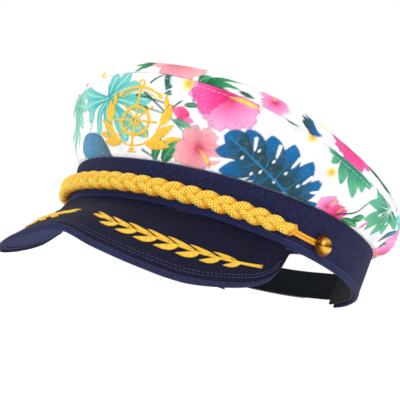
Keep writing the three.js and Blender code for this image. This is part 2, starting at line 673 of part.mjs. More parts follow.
add('crown_side', crownSide(), paint(0xf4f3f6, 0.85, 0));
add('crown_top', crownTop(), paint(0xf1f0f5, 0.85, 0));
add('band', band(), paint(0x1d2148, 0.9, 0));
add('sweatband', sweatband(), paint(0x08080a, 0.85, 0));
add('visor', visor(), paint(0x20244e, 0.9, 0));
add('visor_binding', binding(), paint(0x1b1f45, 0.9, 0));
add('strap_holes', strapWithHoles(), paint(0x0b0b0d, 0.45, 0));
add('strap_studs', strapWithStuds(), paint(0x0c0c0e, 0.45, 0));
add('plaited_cord', plait(), paint(0xf0b41c, 0.55, 0));
add('button_left', button(1), paint(0xe0aa2c, 0.25, 1));
add('button_right', button(-1), paint(0xdfa92b, 0.25, 1));
add('emblem', emblem(), paint(0xe8b01c, 0.6, 0));
add('laurel_left', laurel(1), paint(0xe9b11d, 0.6, 0));
add('laurel_right', laurel(-1), paint(0xe7af1b, 0.6, 0));

// The hat tips back until the visor and the band's ends both touch the table.
function lowest(tip, ahead) {
  let low = Infinity;
  for (const mesh of hat.children) {
    const position = mesh.geometry.attributes.position;
    for (let i = 0; i < position.count; i += 1) {
      const y = position.getY(i);
      if (y < 0 === ahead) low = Math.min(low, position.getZ(i) * Math.cos(tip) - y * Math.sin(tip));
    }
  }
  return low;
}
let [least, most] = [0, rad(40)];
for (let i = 0; i < 40; i += 1) {
  const tip = (least + most) / 2;
  if (lowest(tip, true) < lowest(tip, false)) least = tip;
  else most = tip;
}
hat.rotation.x = -least;
hat.updateMatrixWorld(true);
const box = new THREE.Box3().setFromObject(hat, true);
hat.position.set(0, -(box.min.y + box.max.y) / 2, -box.min.z);

export default hat;
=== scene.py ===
"""A captain hat: a crown of printed cotton on a stiff navy band, with a gold plait, buttons and embroidery.

The hat's own frame is in millimetres. Its origin is the centre of the band's lower edge, its front looks to
-Y and the wearer's left is +X. Angles go round the band from the front, in degrees, to the wearer's left.
"""

import math

import bpy
import numpy as np
from mathutils import Matrix, Vector


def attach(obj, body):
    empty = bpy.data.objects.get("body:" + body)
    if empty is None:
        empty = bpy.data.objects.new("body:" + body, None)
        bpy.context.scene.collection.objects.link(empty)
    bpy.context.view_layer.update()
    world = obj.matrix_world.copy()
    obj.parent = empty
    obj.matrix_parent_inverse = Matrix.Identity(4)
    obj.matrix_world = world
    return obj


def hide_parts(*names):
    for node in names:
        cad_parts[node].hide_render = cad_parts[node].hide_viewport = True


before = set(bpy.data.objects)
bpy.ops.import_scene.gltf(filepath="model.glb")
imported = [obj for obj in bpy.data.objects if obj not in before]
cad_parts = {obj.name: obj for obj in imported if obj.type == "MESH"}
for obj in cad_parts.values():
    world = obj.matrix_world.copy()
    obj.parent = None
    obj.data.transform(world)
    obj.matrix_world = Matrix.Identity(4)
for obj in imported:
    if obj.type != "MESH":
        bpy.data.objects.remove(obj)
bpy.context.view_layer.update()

# Band.
# A strip of stiffened navy twill, open at the back. Its lower edge is folded and stitched a few millimetres
# up, which leaves a narrow raised border, and the crown's cloth is caught behind its upper edge.
HEAD_HALF_WIDTH = 94.5
HEAD_HALF_LENGTH = 95.5
BAND_HEIGHT_FRONT = 24.5
BAND_HEIGHT_SIDE = 28.5
BAND_HEIGHT_REAR = 36.5
BAND_FLARE = 2.2
BAND_WALL = 2.2
BAND_END_ANGLE = 151
BORDER_HEIGHT = 3.9
BORDER_RAISE = 0.35
HAT_TIP = math.radians(13.646999756456351)
HAT_FORWARD = 14.872249435218087
HAT_LIFT = 19.707112243339445


def stand(points):
    """Points of the hat's frame, in mm, as they stand in the row's frame, in metres."""
    x, y, z = np.moveaxis(np.asarray(points, float), -1, 0)
    turned = y * math.cos(HAT_TIP) + z * math.sin(HAT_TIP)
    raised = z * math.cos(HAT_TIP) - y * math.sin(HAT_TIP)
    return np.stack([x, turned + HAT_FORWARD, raised + HAT_LIFT], -1) / 1000


def lerp(start, end, share):
    return start + (end - start) * share


def smooth(value, low, high):
    share = np.clip((value - low) / (high - low), 0, 1)
    return share * share * (3 - 2 * share)


def unit(vectors):
    return vectors / np.linalg.norm(vectors, axis=-1, keepdims=True)


def outward(angle):
    turn = np.radians(angle)
    across = np.sin(turn) / HEAD_HALF_WIDTH
    return unit(np.stack([across, -np.cos(turn) / HEAD_HALF_LENGTH, across * 0], -1))


def ring(angle, offset, z):
    """A place on the head ring: so far out from it, and so far above the band's lower edge."""
    angle, offset, z = np.broadcast_arrays(*(np.asarray(value, float) for value in (angle, offset, z)))
    turn = np.radians(angle)
    base = np.stack([HEAD_HALF_WIDTH * np.sin(turn), -HEAD_HALF_LENGTH * np.cos(turn), z], -1)
    return base + outward(angle) * (offset + BAND_FLARE * z / BAND_HEIGHT_SIDE)[..., None]


def band_height(angle):
    ahead = np.cos(np.radians(angle))
    ends = np.where(ahead > 0, BAND_HEIGHT_FRONT, BAND_HEIGHT_REAR)
    return lerp(BAND_HEIGHT_SIDE, ends, ahead * ahead)


def skin(points, wrap_rows=False, wrap_columns=False, **marks):
    """A closed skin over a grid of points, with the values that its material reads at each point."""
    rows, columns = points.shape[:2]
    row = np.arange(rows if wrap_rows else rows - 1)[:, None]
    column = np.arange(columns if wrap_columns else columns - 1)[None]
    next_row, next_column = (row + 1) % rows, (column + 1) % columns
    corners = (row * columns + column, row * columns + next_column)
    corners += (next_row * columns + next_column, next_row * columns + column)
    quads = np.stack(np.broadcast_arrays(*corners), -1).reshape(-1, 4)
    values = {name: np.reshape(value, (rows * columns, -1)) for name, value in marks.items()}
    return points.reshape(-1, 3), quads, values


def capped(points):
    """The grid with both its end rows drawn together to a point."""
    ends = [np.broadcast_to(row.mean(0), row.shape)[None] for row in (points[0], points[-1])]
    return np.concatenate([ends[0], points, ends[1]])


def welded(points, quads):
    """Joins points that coincide, and turns the quads that this flattens into triangles."""
    _, kept, place = np.unique(np.round(points, 4), axis=0, return_index=True, return_inverse=True)
    quads = kept[place.reshape(-1)][quads]
    flat = (quads == np.roll(quads, 1, axis=1)).any(1)
    faces = quads[~flat].tolist()
    for quad in quads[flat].tolist():
        face = [corner for i, corner in enumerate(quad) if corner != quad[i - 1]]
        if len(set(face)) == 3:
            faces.append(face)
    triangles = sum(faces[len(quads[~flat]):], [])
    used = np.unique(np.concatenate([quads[~flat].ravel(), np.ravel(triangles)]))
    renumber = np.zeros(len(points), int)
    used = used.astype(int)
    renumber[used] = np.arange(len(used))
    return used, [[int(renumber[corner]) for corner in face] for face in faces]


def piece(name, skins, material, slot, *nodes):
    """One object from its skins. It stands for the CAD nodes that are named."""
    places, faces, marks, count = [], [], {}, 0
    for points, quads, values in skins:
        used, kept = welded(points, quads)
        standing = stand(points[used])
        a, b, c = (standing[[face[i] for face in kept]] for i in range(3))
        if (a * np.cross(b, c)).sum() < 0:
            kept = [face[::-1] for face in kept]
        faces += [[corner + count for corner in face] for face in kept]
        places.append(standing)
        for mark, value in values.items():
            marks.setdefault(mark, []).append(value[used])
        count += len(used)
    mesh = bpy.data.meshes.new(name)
    mesh.from_pydata(np.concatenate(places).tolist(), [], faces)
    mesh.polygons.foreach_set("use_smooth", [True] * len(mesh.polygons))
    for mark, values in marks.items():
        values = np.concatenate(values).astype(np.float32)
        if values.shape[1] == 4:
            mesh.attributes.new(mark, "FLOAT_COLOR", "POINT").data.foreach_set("color", values.ravel())
        elif values.shape[1] == 3:
            mesh.attributes.new(mark, "FLOAT_VECTOR", "POINT").data.foreach_set("vector", values.ravel())
        else:
            mesh.attributes.new(mark, "FLOAT", "POINT").data.foreach_set("value", values.ravel())
    mesh.materials.append(material)
    made = bpy.data.objects.new(name, mesh)
    bpy.context.scene.collection.objects.link(made)
    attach(made, "root")
    if nodes:
        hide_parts(*nodes)
    return made


class Thread:
    """A value, colour or vector on its way through a material's nodes."""

    def __init__(self, tree, socket=None):
        self.tree, self.socket = tree, socket

    def node(self, kind, settings=None, inputs=None, outputs=(0,)):
        made = self.tree.nodes.new(kind)
        for key, value in (settings or {}).items():
            setattr(made, key, value)
        for key, value in (inputs or {}).items():
            if isinstance(value, Thread):
                self.tree.links.new(value.socket, made.inputs[key])
            else:
                made.inputs[key].default_value = value
        found = [Thread(self.tree, made.outputs[key]) for key in outputs]
        return found if len(found) > 1 else found[0]

    def math(self, operation, *values):
        return self.node("ShaderNodeMath", {"operation": operation}, dict(enumerate(values)))

    def __add__(self, other):
        return self.math("ADD", self, other)

    def __sub__(self, other):
        return self.math("SUBTRACT", self, other)

    def __rsub__(self, other):
        return self.math("SUBTRACT", other, self)

    def __mul__(self, other):
        return self.math("MULTIPLY", self, other)

    def __truediv__(self, other):
        return self.math("DIVIDE", self, other)

    __radd__, __rmul__ = __add__, __mul__

    def sine(self):
        return self.math("SINE", self)

    def between(self, low, high):
        """0 below low, 1 above high, and smooth in the middle."""
        settings = {"interpolation_type": "SMOOTHSTEP"}
        return self.node("ShaderNodeMapRange", settings, {0: self, 1: low, 2: high, 3: 0.0, 4: 1.0})

    def mix(self, first, second):
        """From the first colour to the second as this value goes from 0 to 1."""
        ends = {6: first, 7: second}
        ends = {key: value if isinstance(value, Thread) else (*value, 1) for key, value in ends.items()}
        return self.node("ShaderNodeMix", {"data_type": "RGBA"}, {0: self, **ends}, (2,))

    def stretched(self, *scale):
        return self.node("ShaderNodeVectorMath", {"operation": "MULTIPLY"}, {0: self, 1: scale})

    def cloth(self):
        """The cloth's own place, in mm along and across it."""
        return self.node("ShaderNodeAttribute", {"attribute_name": "cloth"}, None, ("Vector",))

    def noise(self, place, scale, detail=2.0, roughness=0.5):
        """Cloudy values from 0 to 1; scale is how many clouds there are in a unit of place."""
        inputs = {"Vector": place, "Scale": scale, "Detail": detail, "Roughness": roughness}
        return self.node("ShaderNodeTexNoise", None, inputs)

    def relief(self, height, distance, strength=1.0):
        inputs = {"Height": height, "Distance": distance, "Strength": strength}
        return self.node("ShaderNodeBump", None, inputs)


def finish(name, surface, constants):
    """A material: surface gives the threads that feed its shader, and constants are set on the sockets."""
    made = bpy.data.materials.new(name)
    made.use_nodes = True
    tree = made.node_tree
    shader = tree.nodes["Principled BSDF"]
    for key, value in constants.items():
        shader.inputs[key].default_value = value
    for key, thread in surface(Thread(tree)).items():
        tree.links.new(thread.socket, shader.inputs[key])
    return made


def dye(*card):
    """A colour read off a colour card, 0 to 255, as linear light."""
    share = np.array(card, float) / 255
    return tuple(np.where(share <= 0.04045, share / 12.92, ((share + 0.055) / 1.055) ** 2.4).tolist())


def twill(dark, light, rib, border=0.0):
    """Diagonal ribs rib mm apart, with fibres that catch the light unevenly; paler below a border, with a
    painted highlight line along the border's crease.
    """

    def surface(start):
        cloth = start.cloth()
        x, y, _ = start.node("ShaderNodeSeparateXYZ", None, {0: cloth}, (0, 1, 2))
        ribs = ((x + y) * (2 * math.pi / rib)).sine() * 0.5 + 0.5
        grain = start.noise(cloth, 0.75, 4.0, 0.85)
        cloud = start.noise(cloth, 0.045, 2.0)
        light_share = (ribs * 0.2 + grain * 2.6 + cloud * 0.3 - 1.1).between(0.0, 1.0)
        tone = light_share.mix(dark, light)
        if border:
            above = y - border
            tone = ((1 - above.between(-0.1, 0.1)) * 0.6).mix(tone, light)
            # Painted highlight: a lighter line along the crease at the border's top edge.
            rim = above.between(-0.35, -0.1) * (1 - above.between(0.1, 0.35))
            tone = (rim * 0.35).mix(tone, dye(120, 122, 160))
        return {
            "Base Color": tone,
            "Roughness": 0.9 - light_share * 0.22,
            "Normal": start.relief(ribs * 0.6 + grain, 0.00022, 0.7),
        }

    return surface


NAVY_SHEEN = {
    "Sheen Weight": 0.04, "Sheen Roughness": 0.4, "Sheen Tint": (0.5, 0.55, 0.9, 1),
    "Specular IOR Level": 0.2,
}
navy_twill = finish("navy_twill", twill(dye(10, 11, 38), dye(44, 47, 92), 1.0, BORDER_HEIGHT), NAVY_SHEEN)


def waves(angle, z, seed, height):
    """Slow unevenness of a hand-sewn part, in mm."""
    draw = np.random.default_rng(seed)
    total = 0 * angle * z
    for times, steep in ((5, 0.02), (9, 0.05), (17, 0.08)):
        phase = draw.uniform(0, 6.3, 2)
        total = total + np.sin(np.radians(angle) * times + phase[0] + z * steep) * draw.uniform(0.5, 1)
    return total * height / 3


def hoop(columns, end, rows, outer, inner, low, top):
    """A wall round the head with round edges, from -end to end degrees; its fronts are in mm off the ring."""
    radius = (outer - inner) / 2
    middle = (outer + inner) / 2
    edge = np.degrees(radius / HEAD_HALF_WIDTH)
    fold = np.radians([30, 60, 90])
    close = end - edge * (1 - np.sin(fold))
    angles = np.concatenate([-close[::-1], np.linspace(-(end - edge), end - edge, columns), close])
    thin = np.concatenate([np.cos(fold[::-1]), np.ones(columns), np.cos(fold)])
    angle, thin = angles[None], thin[None]
    heights = low(angles)[None], top(angles)[None]
    bow = np.radians(np.linspace(180, 360, 9))[:, None]
    lower = (middle + radius * np.cos(bow) * thin, heights[0] + radius * (1 + np.sin(bow)))
    share = np.linspace(0, 1, rows + 2)[1:-1, None]
    rise = lerp(heights[0] + radius, heights[1] - radius, share)
    front = (middle + radius * thin + 0 * rise, rise)
    upper = (
        middle + radius * np.cos(bow - math.pi) * thin,
        heights[1] - radius + radius * np.sin(bow - math.pi),
    )
    back = (middle - radius * thin + 0 * rise, rise[::-1])
    offset = np.concatenate([part[0] + 0 * angle for part in (lower, front, upper, back)])
    z = np.concatenate([part[1] + 0 * angle for part in (lower, front, upper, back)])
    return angle + 0 * z, offset, z


band_angle, band_offset, band_z = hoop(
    320, BAND_END_ANGLE, 44, 0, -BAND_WALL, lambda angle: 0 * angle, band_height
)
outside = smooth(band_offset, -0.9, -0.2)
border = 1 - smooth(band_z, BORDER_HEIGHT - 0.35, BORDER_HEIGHT + 0.1)
crease = np.exp(-(((band_z - BORDER_HEIGHT) / 0.35) ** 2))
band_relief = BORDER_RAISE * border - 0.3 * crease + waves(band_angle, band_z, 5, 0.5)
band_offset = band_offset + outside * band_relief
band_points = ring(band_angle, band_offset, band_z)
band_cloth = np.stack([np.radians(band_angle) * 95, band_z, band_offset], -1)
piece("band", [skin(band_points, wrap_rows=True, cloth=band_cloth)], navy_twill, "band", "band")

# Sweatband.
# A strip of black twill tape inside the band, sewn to it along its edges. It stands off at the band's ends,
# where the strap's tails lie between the two.
SWEATBAND_WALL = 1.2
SWEATBAND_SETBACK = 1.0
PIECE_GAP = 0.3
STRAP_WALL = 1.2
STRAP_POCKET = (128, 140)


def sweatband_face(angle):
    share = smooth(np.abs(angle), *STRAP_POCKET)
    return -(BAND_WALL + PIECE_GAP + share * (STRAP_WALL + 1.6 * PIECE_GAP))


tape_angle, tape_offset, tape_z = hoop(
    260, BAND_END_ANGLE, 18, 0, -SWEATBAND_WALL,
    lambda angle: SWEATBAND_SETBACK + 0 * angle, lambda angle: band_height(angle) - SWEATBAND_SETBACK,
)
tape_inner = smooth(-tape_offset, SWEATBAND_WALL * 0.5, SWEATBAND_WALL)
tape_offset = tape_offset + sweatband_face(tape_angle)
tape_hem = np.exp(-(((tape_z - SWEATBAND_SETBACK - 3) / 0.4) ** 2))
tape_offset = tape_offset + tape_inner * (0.25 * tape_hem + waves(tape_angle, tape_z, 8, 0.35) - 0.3)
tape_cloth = np.stack([np.radians(tape_angle) * 92, tape_z, tape_offset], -1)
black_tape = finish(
    "black_tape", twill(dye(7, 7, 9), dye(30, 29, 33), 1.3),
    {"Sheen Weight": 0.12, "Sheen Roughness": 0.5, "Specular IOR Level": 0.25},
)
tape_points = ring(tape_angle, tape_offset, tape_z)
tape_skin = skin(tape_points, wrap_rows=True, cloth=tape_cloth)
piece("sweatband", [tape_skin], black_tape, "sweatband", "sweatband")

# Crown, side panel.
# Cotton printed with tropical leaves and flowers, cut as a band that stands up from the navy band and leans
# out to the seam. It has no stiffening, so it bellies a little, and its lower edge is caught by the band.
CLOTH = 1.6
SEAM_HALF_WIDTH = 112
SEAM_HALF_LENGTH = 107
SEAM_CENTRE_Y = -4
SEAM_HEIGHT_FRONT = 73
SEAM_HEIGHT_SIDE = 50
SEAM_HEIGHT_REAR = 42
SIDE_BULGE = 10
SIDE_NECK_SHARE = 0.5
SEAM_INSIDE = 1 - CLOTH / SEAM_HALF_LENGTH
PER_DEGREE = 1.815
GROUND = dye(250, 250, 253)
WRONG_SIDE = dye(196, 214, 226)
BLEED = 0.6


def seam_height(forward):
    tilt = (SEAM_HEIGHT_FRONT - SEAM_HEIGHT_REAR) / 2
    bow = (SEAM_HEIGHT_FRONT + SEAM_HEIGHT_REAR) / 2 - SEAM_HEIGHT_SIDE
    return SEAM_HEIGHT_SIDE + tilt * forward + bow * forward * forward


def seam_point(angle, share):
    turn = np.radians(angle)
    forward = share * np.cos(turn)
    across = SEAM_HALF_WIDTH * share * np.sin(turn)
    return np.stack([across, SEAM_CENTRE_Y - SEAM_HALF_LENGTH * forward, seam_height(forward)], -1)


def side_point(angle, up):
    """The side panel's face, from the band, up 0, to the seam, up 1."""
    angle, up = np.broadcast_arrays(np.asarray(angle, float), np.asarray(up, float))
    base = ring(angle, 0, band_height(angle) + PIECE_GAP)
    seam = seam_point(angle, 1)
    pull = base + outward(angle) * SIDE_BULGE
    pull[..., 2] = lerp(base[..., 2], seam[..., 2], SIDE_NECK_SHARE)
    share = up[..., None]
    return lerp(lerp(base, pull, share), lerp(pull, seam, share), share)


def face_of(surface, angle, along, step):
    """The direction out of a surface, from small steps along it both ways."""
    around = surface(angle + 0.5, along) - surface(angle - 0.5, along)
    rise = surface(angle, along + step) - surface(angle, along - step)
    return unit(np.cross(around, rise))


class Cotton:
    """The cotton's flat places, in mm, and what each of them is dyed."""

    def __init__(self, flat, colour=None, ink=None):
        self.flat = flat
        self.colour = np.tile(np.array(GROUND), (len(flat), 1)) if colour is None else colour
        self.ink = np.zeros(len(flat)) if ink is None else ink

    def moved(self, about, place, turn):
        """The same cotton for a motif that is drawn about one place and set down, turned, at another."""
        ahead, aside = math.cos(math.radians(turn)), math.sin(math.radians(turn))
        offset = (self.flat - place) @ np.array([[ahead, -aside], [aside, ahead]])
        return Cotton(offset + about, self.colour, self.ink)

    def near(self, place, reach):
        offset = self.flat - np.asarray(place, float)
        found = np.flatnonzero((np.abs(offset) < reach).all(1))
        return found, offset[found]

    def dab(self, found, cover, colour, ink=1.0):
        self.colour[found] = lerp(self.colour[found], colour, cover[:, None])
        self.ink[found] = lerp(self.ink[found], ink, cover)


def leaf_shape(t):
    return np.sin(np.pi * t**0.8)


def finger_shape(t):
    return np.minimum(1, 0.3 + 0.9 * t) * np.clip(1 - t**8, 0, 1) ** 0.5


def frond_shape(t):
    return np.minimum(1, 0.35 + 1.4 * t) * np.clip(1 - t**3.5, 0, 1) ** 0.8


def lobe_shape(t):
    return np.minimum(1, 0.8 + t) * np.clip(1 - t**3.0, 0, 1) ** 0.8


def slit_shape(t):
    return np.clip(t * 4, 0, 1) ** 0.5 * (0.55 + 0.45 * t)


def petal_shape(t):
    return np.clip(t * 2.2, 0, 1) ** 0.7 * np.clip(1 - t**5, 0, 1) ** 0.6


def stem_shape(t):
    return 1 - 0.5 * t


def blade(cotton, root, tip, width, shape, tints, bend=0.0, rib=None, veins=0):
    """Paints one curved blade, such as a leaf, a finger or a stem, from its root tint to its tip tint."""
    root, tip = np.array(root, float), np.array(tip, float)
    run = tip - root
    length = max(np.hypot(*run), 0.01)
    bow = np.array([-run[1], run[0]]) * bend
    found, _ = cotton.near((root + tip) / 2, length * (0.55 + abs(bend)) + width)
    if not len(found):
        return
    spots = np.linspace(0, 1, 13)[:, None]
    line = root + run * spots + 2 * spots * (1 - spots) * bow
    start, step = line[:-1], line[1:] - line[:-1]
    offset = cotton.flat[found][:, None] - start
    along = np.clip((offset * step).sum(-1) / (step * step).sum(-1), 0, 1)
    gap = offset - along[..., None] * step
    nearest = (gap * gap).sum(-1).argmin(1)
    pick = np.arange(len(found)), nearest
    t = (nearest + along[pick]) / 12
    off = np.hypot(*gap[pick].T)
    half = width / 2 * shape(t)
    cover = np.clip((half - off) / BLEED + 0.5, 0, 1)
    share = off / np.maximum(half, 0.1)
    colour = lerp(np.array(tints[0]), np.array(tints[1]), smooth(t, 0.08, 0.85)[:, None])
    colour = colour * (1 - 0.3 * smooth(share, 0.72, 1.0))[:, None]
    if veins:
        lines = smooth(np.cos(2 * np.pi * (t * veins - share * 0.9)), 0.75, 1.0)
        colour = lerp(colour, np.array(rib), (0.3 * lines * (share > 0.1))[:, None])
    if rib:
        rib_share = 0.85 * np.clip((0.32 - off) / BLEED + 0.5, 0, 1)[:, None] * (t < 0.93)[:, None]
        colour = lerp(colour, np.array(rib), rib_share)
    cotton.dab(found, cover, colour)


def petal(cotton, root, turn, length, spread, tints, ruffle):
    """Paints one ruffled petal that opens from its root, with fine streaks along it."""
    found, offset = cotton.near(root, length * 1.2)
    if not len(found):
        return
    far = np.hypot(*offset.T)
    swing = (np.arctan2(offset[:, 1], offset[:, 0]) - turn + np.pi) % (2 * np.pi) - np.pi
    open_share = np.clip(1 - (swing / spread) ** 2, 0, 1)
    frill = 1 + 0.045 * np.sin(swing * 11 + ruffle) + 0.03 * np.sin(swing * 23 + ruffle * 3)
    reach = length * open_share**0.33 * frill
    cover = np.clip((reach - far) / BLEED + 0.5, 0, 1) * (open_share > 0)
    t = np.clip(far / length, 0, 1)[:, None]
    root_tint, mid_tint, rim_tint = (np.array(tint) for tint in tints)
    near_root = lerp(root_tint, mid_tint, t / 0.45)
    near_rim = lerp(mid_tint, rim_tint, (t - 0.45) / 0.55)
    colour = np.where(t < 0.45, near_root, near_rim)
    streak = smooth(np.sin(swing * 34 + ruffle), 0.5, 1.0) * (1 - open_share * 0.3)
    edge = smooth(far / np.maximum(reach, 0.1), 0.86, 1.0)
    cotton.dab(found, cover, colour * (1 - 0.13 * streak - 0.2 * edge)[:, None])


def hibiscus(cotton, place, turn, size, tints, stamen=None):
    for i in range(5):
        shade = 1 - 0.1 * (i % 2)
        tinted = [tuple(np.array(tint) * shade) for tint in tints]
        petal_length = size * (0.92 + 0.08 * (i % 3))
        petal(cotton, place, math.radians(turn + 72 * i), petal_length, 0.86, tinted, turn + i)
    found, offset = cotton.near(place, size * 0.3)
    glow = 0.7 * (1 - smooth(np.hypot(*offset.T), size * 0.08, size * 0.28))
    cotton.dab(found, glow, np.array(tints[0]) * 0.75)
    ahead = math.radians(turn + 36 if stamen is None else stamen)
    tip = place[0] + size * 0.8 * math.cos(ahead), place[1] + size * 0.8 * math.sin(ahead)
    blade(cotton, place, tip, size * 0.12, petal_shape, (dye(250, 190, 70), dye(255, 222, 60)), 0.05)
    draw = np.random.default_rng(int(abs(turn) * 7 + size))
    for _ in range(9):
        spot = np.array(tip) + draw.normal(0, size * 0.05, 2)
        blade(cotton, spot, spot + 0.5, 1.0, leaf_shape, (dye(225, 60, 60), dye(250, 200, 60)))


def plumeria(cotton, place, size, turn=0.0):
    """A white flower: only its yellow throat and the soft grey of its petals' edges are dyed."""
    found, offset = cotton.near(place, size * 1.1)
    far = np.hypot(*offset.T)
    swing = np.arctan2(offset[:, 1], offset[:, 0]) - math.radians(turn)
    reach = size * (0.8 + 0.2 * np.abs(np.cos(2.5 * swing)))
    cotton.dab(found, np.clip((reach - far) / 1.2 + 0.5, 0, 1), np.array(GROUND), 0.0)
    rim = np.exp(-(((far - reach + 0.6) / 0.8) ** 2)) * 0.06
    cotton.dab(found, rim, np.array(dye(186, 190, 214)))
    star = far * (1.12 - 0.12 * np.cos(5 * swing))
    cotton.dab(found, 0.95 * (1 - smooth(star, size * 0.1, size * 0.66)), np.array(dye(255, 234, 84)), 0.4)
    cotton.dab(found, 0.9 * (1 - smooth(star, size * 0.02, size * 0.34)), np.array(dye(244, 172, 66)), 0.6)


def leaf(cotton, root, tip, width, tints, bend=0.08):
    blade(cotton, root, tip, width, leaf_shape, tints, bend, dye(120, 190, 150), 6)


TEAL = dye(52, 178, 174), dye(112, 210, 196)
TEAL_RIB = dye(206, 240, 234)
PALE_GREEN = dye(92, 190, 164), dye(150, 216, 190)
SLATE_BLUE = dye(70, 104, 116), dye(70, 142, 186)
GREEN = dye(12, 100, 60), dye(48, 160, 92)
DARK_GREEN = dye(8, 80, 58), dye(20, 104, 76)
FERN = dye(34, 142, 108), dye(96, 184, 140)
FERN_RIB = dye(210, 238, 220)
BLUE = dye(36, 74, 86), dye(14, 106, 166)
BLUE_RIB = dye(34, 130, 186)
HOT_PINK = dye(226, 34, 96), dye(248, 62, 146), dye(252, 104, 178)
LIGHT_PINK = dye(236, 60, 120), dye(250, 132, 192), dye(253, 184, 226)
CORAL = dye(236, 84, 112), dye(250, 152, 166), dye(253, 190, 196)
MONSTERA_LOBES = (
    ((113, -3), (125.5, 2), 6), ((108, -1), (119, 15.5), 9), ((101, 2), (109, 22.8), 12), ((93, 6),
    (95.3, 28), 13),
    ((85, 9.5), (82, 28.5), 14), ((76, 14), (68, 27.4), 12.5), ((68, 17), (57, 21), 12),
)
MONSTERA_UNDER = (
    ((70, 17), (54, 12), 9), ((80, 12), (59, 1.5), 10.5), ((90, 8), (73, -8), 11), ((101, 3), (89, -14), 11),
    ((110, -2), (104, -15), 8),
)
MONSTERA_SLITS = (
    ((116, 5.8), (121, 8)), ((109, 8.2), (112.5, 14)), ((99, 14.3), (101.5, 21.5)), ((89, 16.6), (88.5, 24)),
    ((76, 16.8), (74.6, 24)), ((67, 9.2), (53, 6.5)), ((81, 1), (72, -4)), ((97, -4), (92, -10)),
)
MONSTERA_HOLES = (
    (78, 16.7), (88, 13.5), (97, 9.5), (82.6, 5.7), (92.6, 3.1), (107, 5.4), (78, 3.4), (101, -2), (70, 10.5),
)


def monstera(cotton):
    """A large leaf slit between its side veins, with pointed lobes and small holes beside its midrib."""
    for bend, lobes in ((-0.17, MONSTERA_LOBES), (0.14, MONSTERA_UNDER)):
        for root, tip, width in lobes:
            blade(cotton, root, tip, width * 1.22, lobe_shape, BLUE, bend)
    for bend, lobes in ((-0.17, MONSTERA_LOBES), (0.14, MONSTERA_UNDER)):
        for root, tip, _ in lobes:
            vein_end = lerp(np.array(root), np.array(tip), 0.8)
            blade(cotton, root, vein_end, 0.55, stem_shape, (BLUE_RIB, BLUE[1]), bend * 1.2)
    for start, end in MONSTERA_SLITS:
        blade(cotton, start, end, 2.3, slit_shape, (GROUND, GROUND))
    for hole in MONSTERA_HOLES:
        blade(cotton, hole, (hole[0] + 0.9, hole[1] + 2.6), 1.5, leaf_shape, (GROUND, GROUND))
    blade(cotton, (118, -6), (60, 21), 1.5, stem_shape, (BLUE_RIB, BLUE_RIB), 0.02)


def teal_fan(cotton):
    tips = ((-54, 41), (-24.5, 44), (-20, 49), (-10, 50.5), (-1, 42), (9, 34.5), (8, 27), (11, 13),
        (-4, 8.5), (-18, 9.5),
            (-37, 13.5), (-50, 22), (-52, 31))
    for i, tip in enumerate(tips):
        blade(cotton, (-26, 34.4), tip, 8.4, finger_shape, TEAL, 0.07 * (-1) ** i, TEAL_RIB)


def pale_palm(cotton):
    tips = ((-63.5, 45), (-46, 43), (-50, 30), (-58, 19), (-70, 9), (-84, -6), (-103, 11), (-104, 37),
        (-92, 48), (-78, 50))
    for i, tip in enumerate(tips):
        blade(cotton, (-73, 36), tip, 8.6, frond_shape, PALE_GREEN, 0.06 * (-1) ** i, TEAL_RIB)


def philodendron(cotton):
    lobes = (((122, 33), (118, 27), 5), ((124, 32.5), (129, 18), 6.5), ((130, 31.5), (141, 14.5), 8.5),
             ((137, 30), (147, 20), 6.5), ((143, 29), (151, 24.5), 5.5), ((121, 34), (114, 35), 5))
    for root, tip, width in lobes:
        blade(cotton, root, tip, width * 1.15, frond_shape, FERN, 0.12, dye(60, 160, 120))
    for root, tip, width in (((124, 34), (122, 42), 5), ((130, 33), (132, 46), 7), ((137, 31), (144, 43), 7),
                             ((143, 30), (153, 36), 6)):
        blade(cotton, root, tip, width * 1.15, frond_shape, FERN, -0.1, dye(60, 160, 120))
    blade(cotton, (117, 34.5), (154, 27), 5.5, leaf_shape, (FERN[0], FERN[0]))
    blade(cotton, (116, 35), (153, 27), 1.3, stem_shape, (FERN_RIB, FERN_RIB), 0.02)


def round_leaf(cotton):
    tips = ((155, 29), (156, 18), (162, 8), (170.6, 3), (181, 3), (190, 8.5), (199, 17), (200, 29),
        (192, 39), (178, 43),
            (163, 40))
    for i, tip in enumerate(tips):
        blade(cotton, (177, 23), tip, 9.6, lobe_shape, FERN, 0.1 * (-1) ** i)
    for tip in tips:
        vein_end = lerp(np.array((177, 23)), np.array(tip), 0.8)
        blade(cotton, (177, 23), vein_end, 0.9, stem_shape, (FERN_RIB, FERN[1]))
    for hole in ((168, 27), (171, 15), (183, 14), (187, 27), (176, 33)):
        blade(cotton, hole, (hole[0] + 1.6, hole[1] + 2.4), 1.8, leaf_shape, (GROUND, GROUND))


def twig(cotton):
    """Crossing stems with a folded leaf, a bud and narrow leaflets."""
    for start, end, bend in (((3, 38), (40, 13), 0.02), ((-2, 36), (24, 31), 0.05), ((6, 44), (19, 52), 0.1),
                             ((0, 30), (18, 27), 0.0), ((29, 36), (18, 28), 0.1), ((8, 5), (20, 0), 0.0)):
        blade(cotton, start, end, 1.3, stem_shape, DARK_GREEN, bend)
    teal_tints = (dye(22, 104, 112), dye(24, 96, 82))
    blade(cotton, (20, 54), (17, 40), 10, leaf_shape, teal_tints, 0.1, dye(70, 150, 140), 5)
    leaf(cotton, (16, 38), (31, 40), 3.4, DARK_GREEN)
    leaf(cotton, (30, 33), (41, 34), 3.2, DARK_GREEN)
    leaf(cotton, (25, 24), (39, 20), 4.6, FERN)
    blade(cotton, (23, 30), (35, 26.5), 7.5, petal_shape, (dye(250, 110, 170), dye(240, 50, 120)), 0.05)
    blade(cotton, (30, 27), (38, 24.5), 4, petal_shape, (dye(246, 90, 150), dye(250, 140, 190)), -0.1)


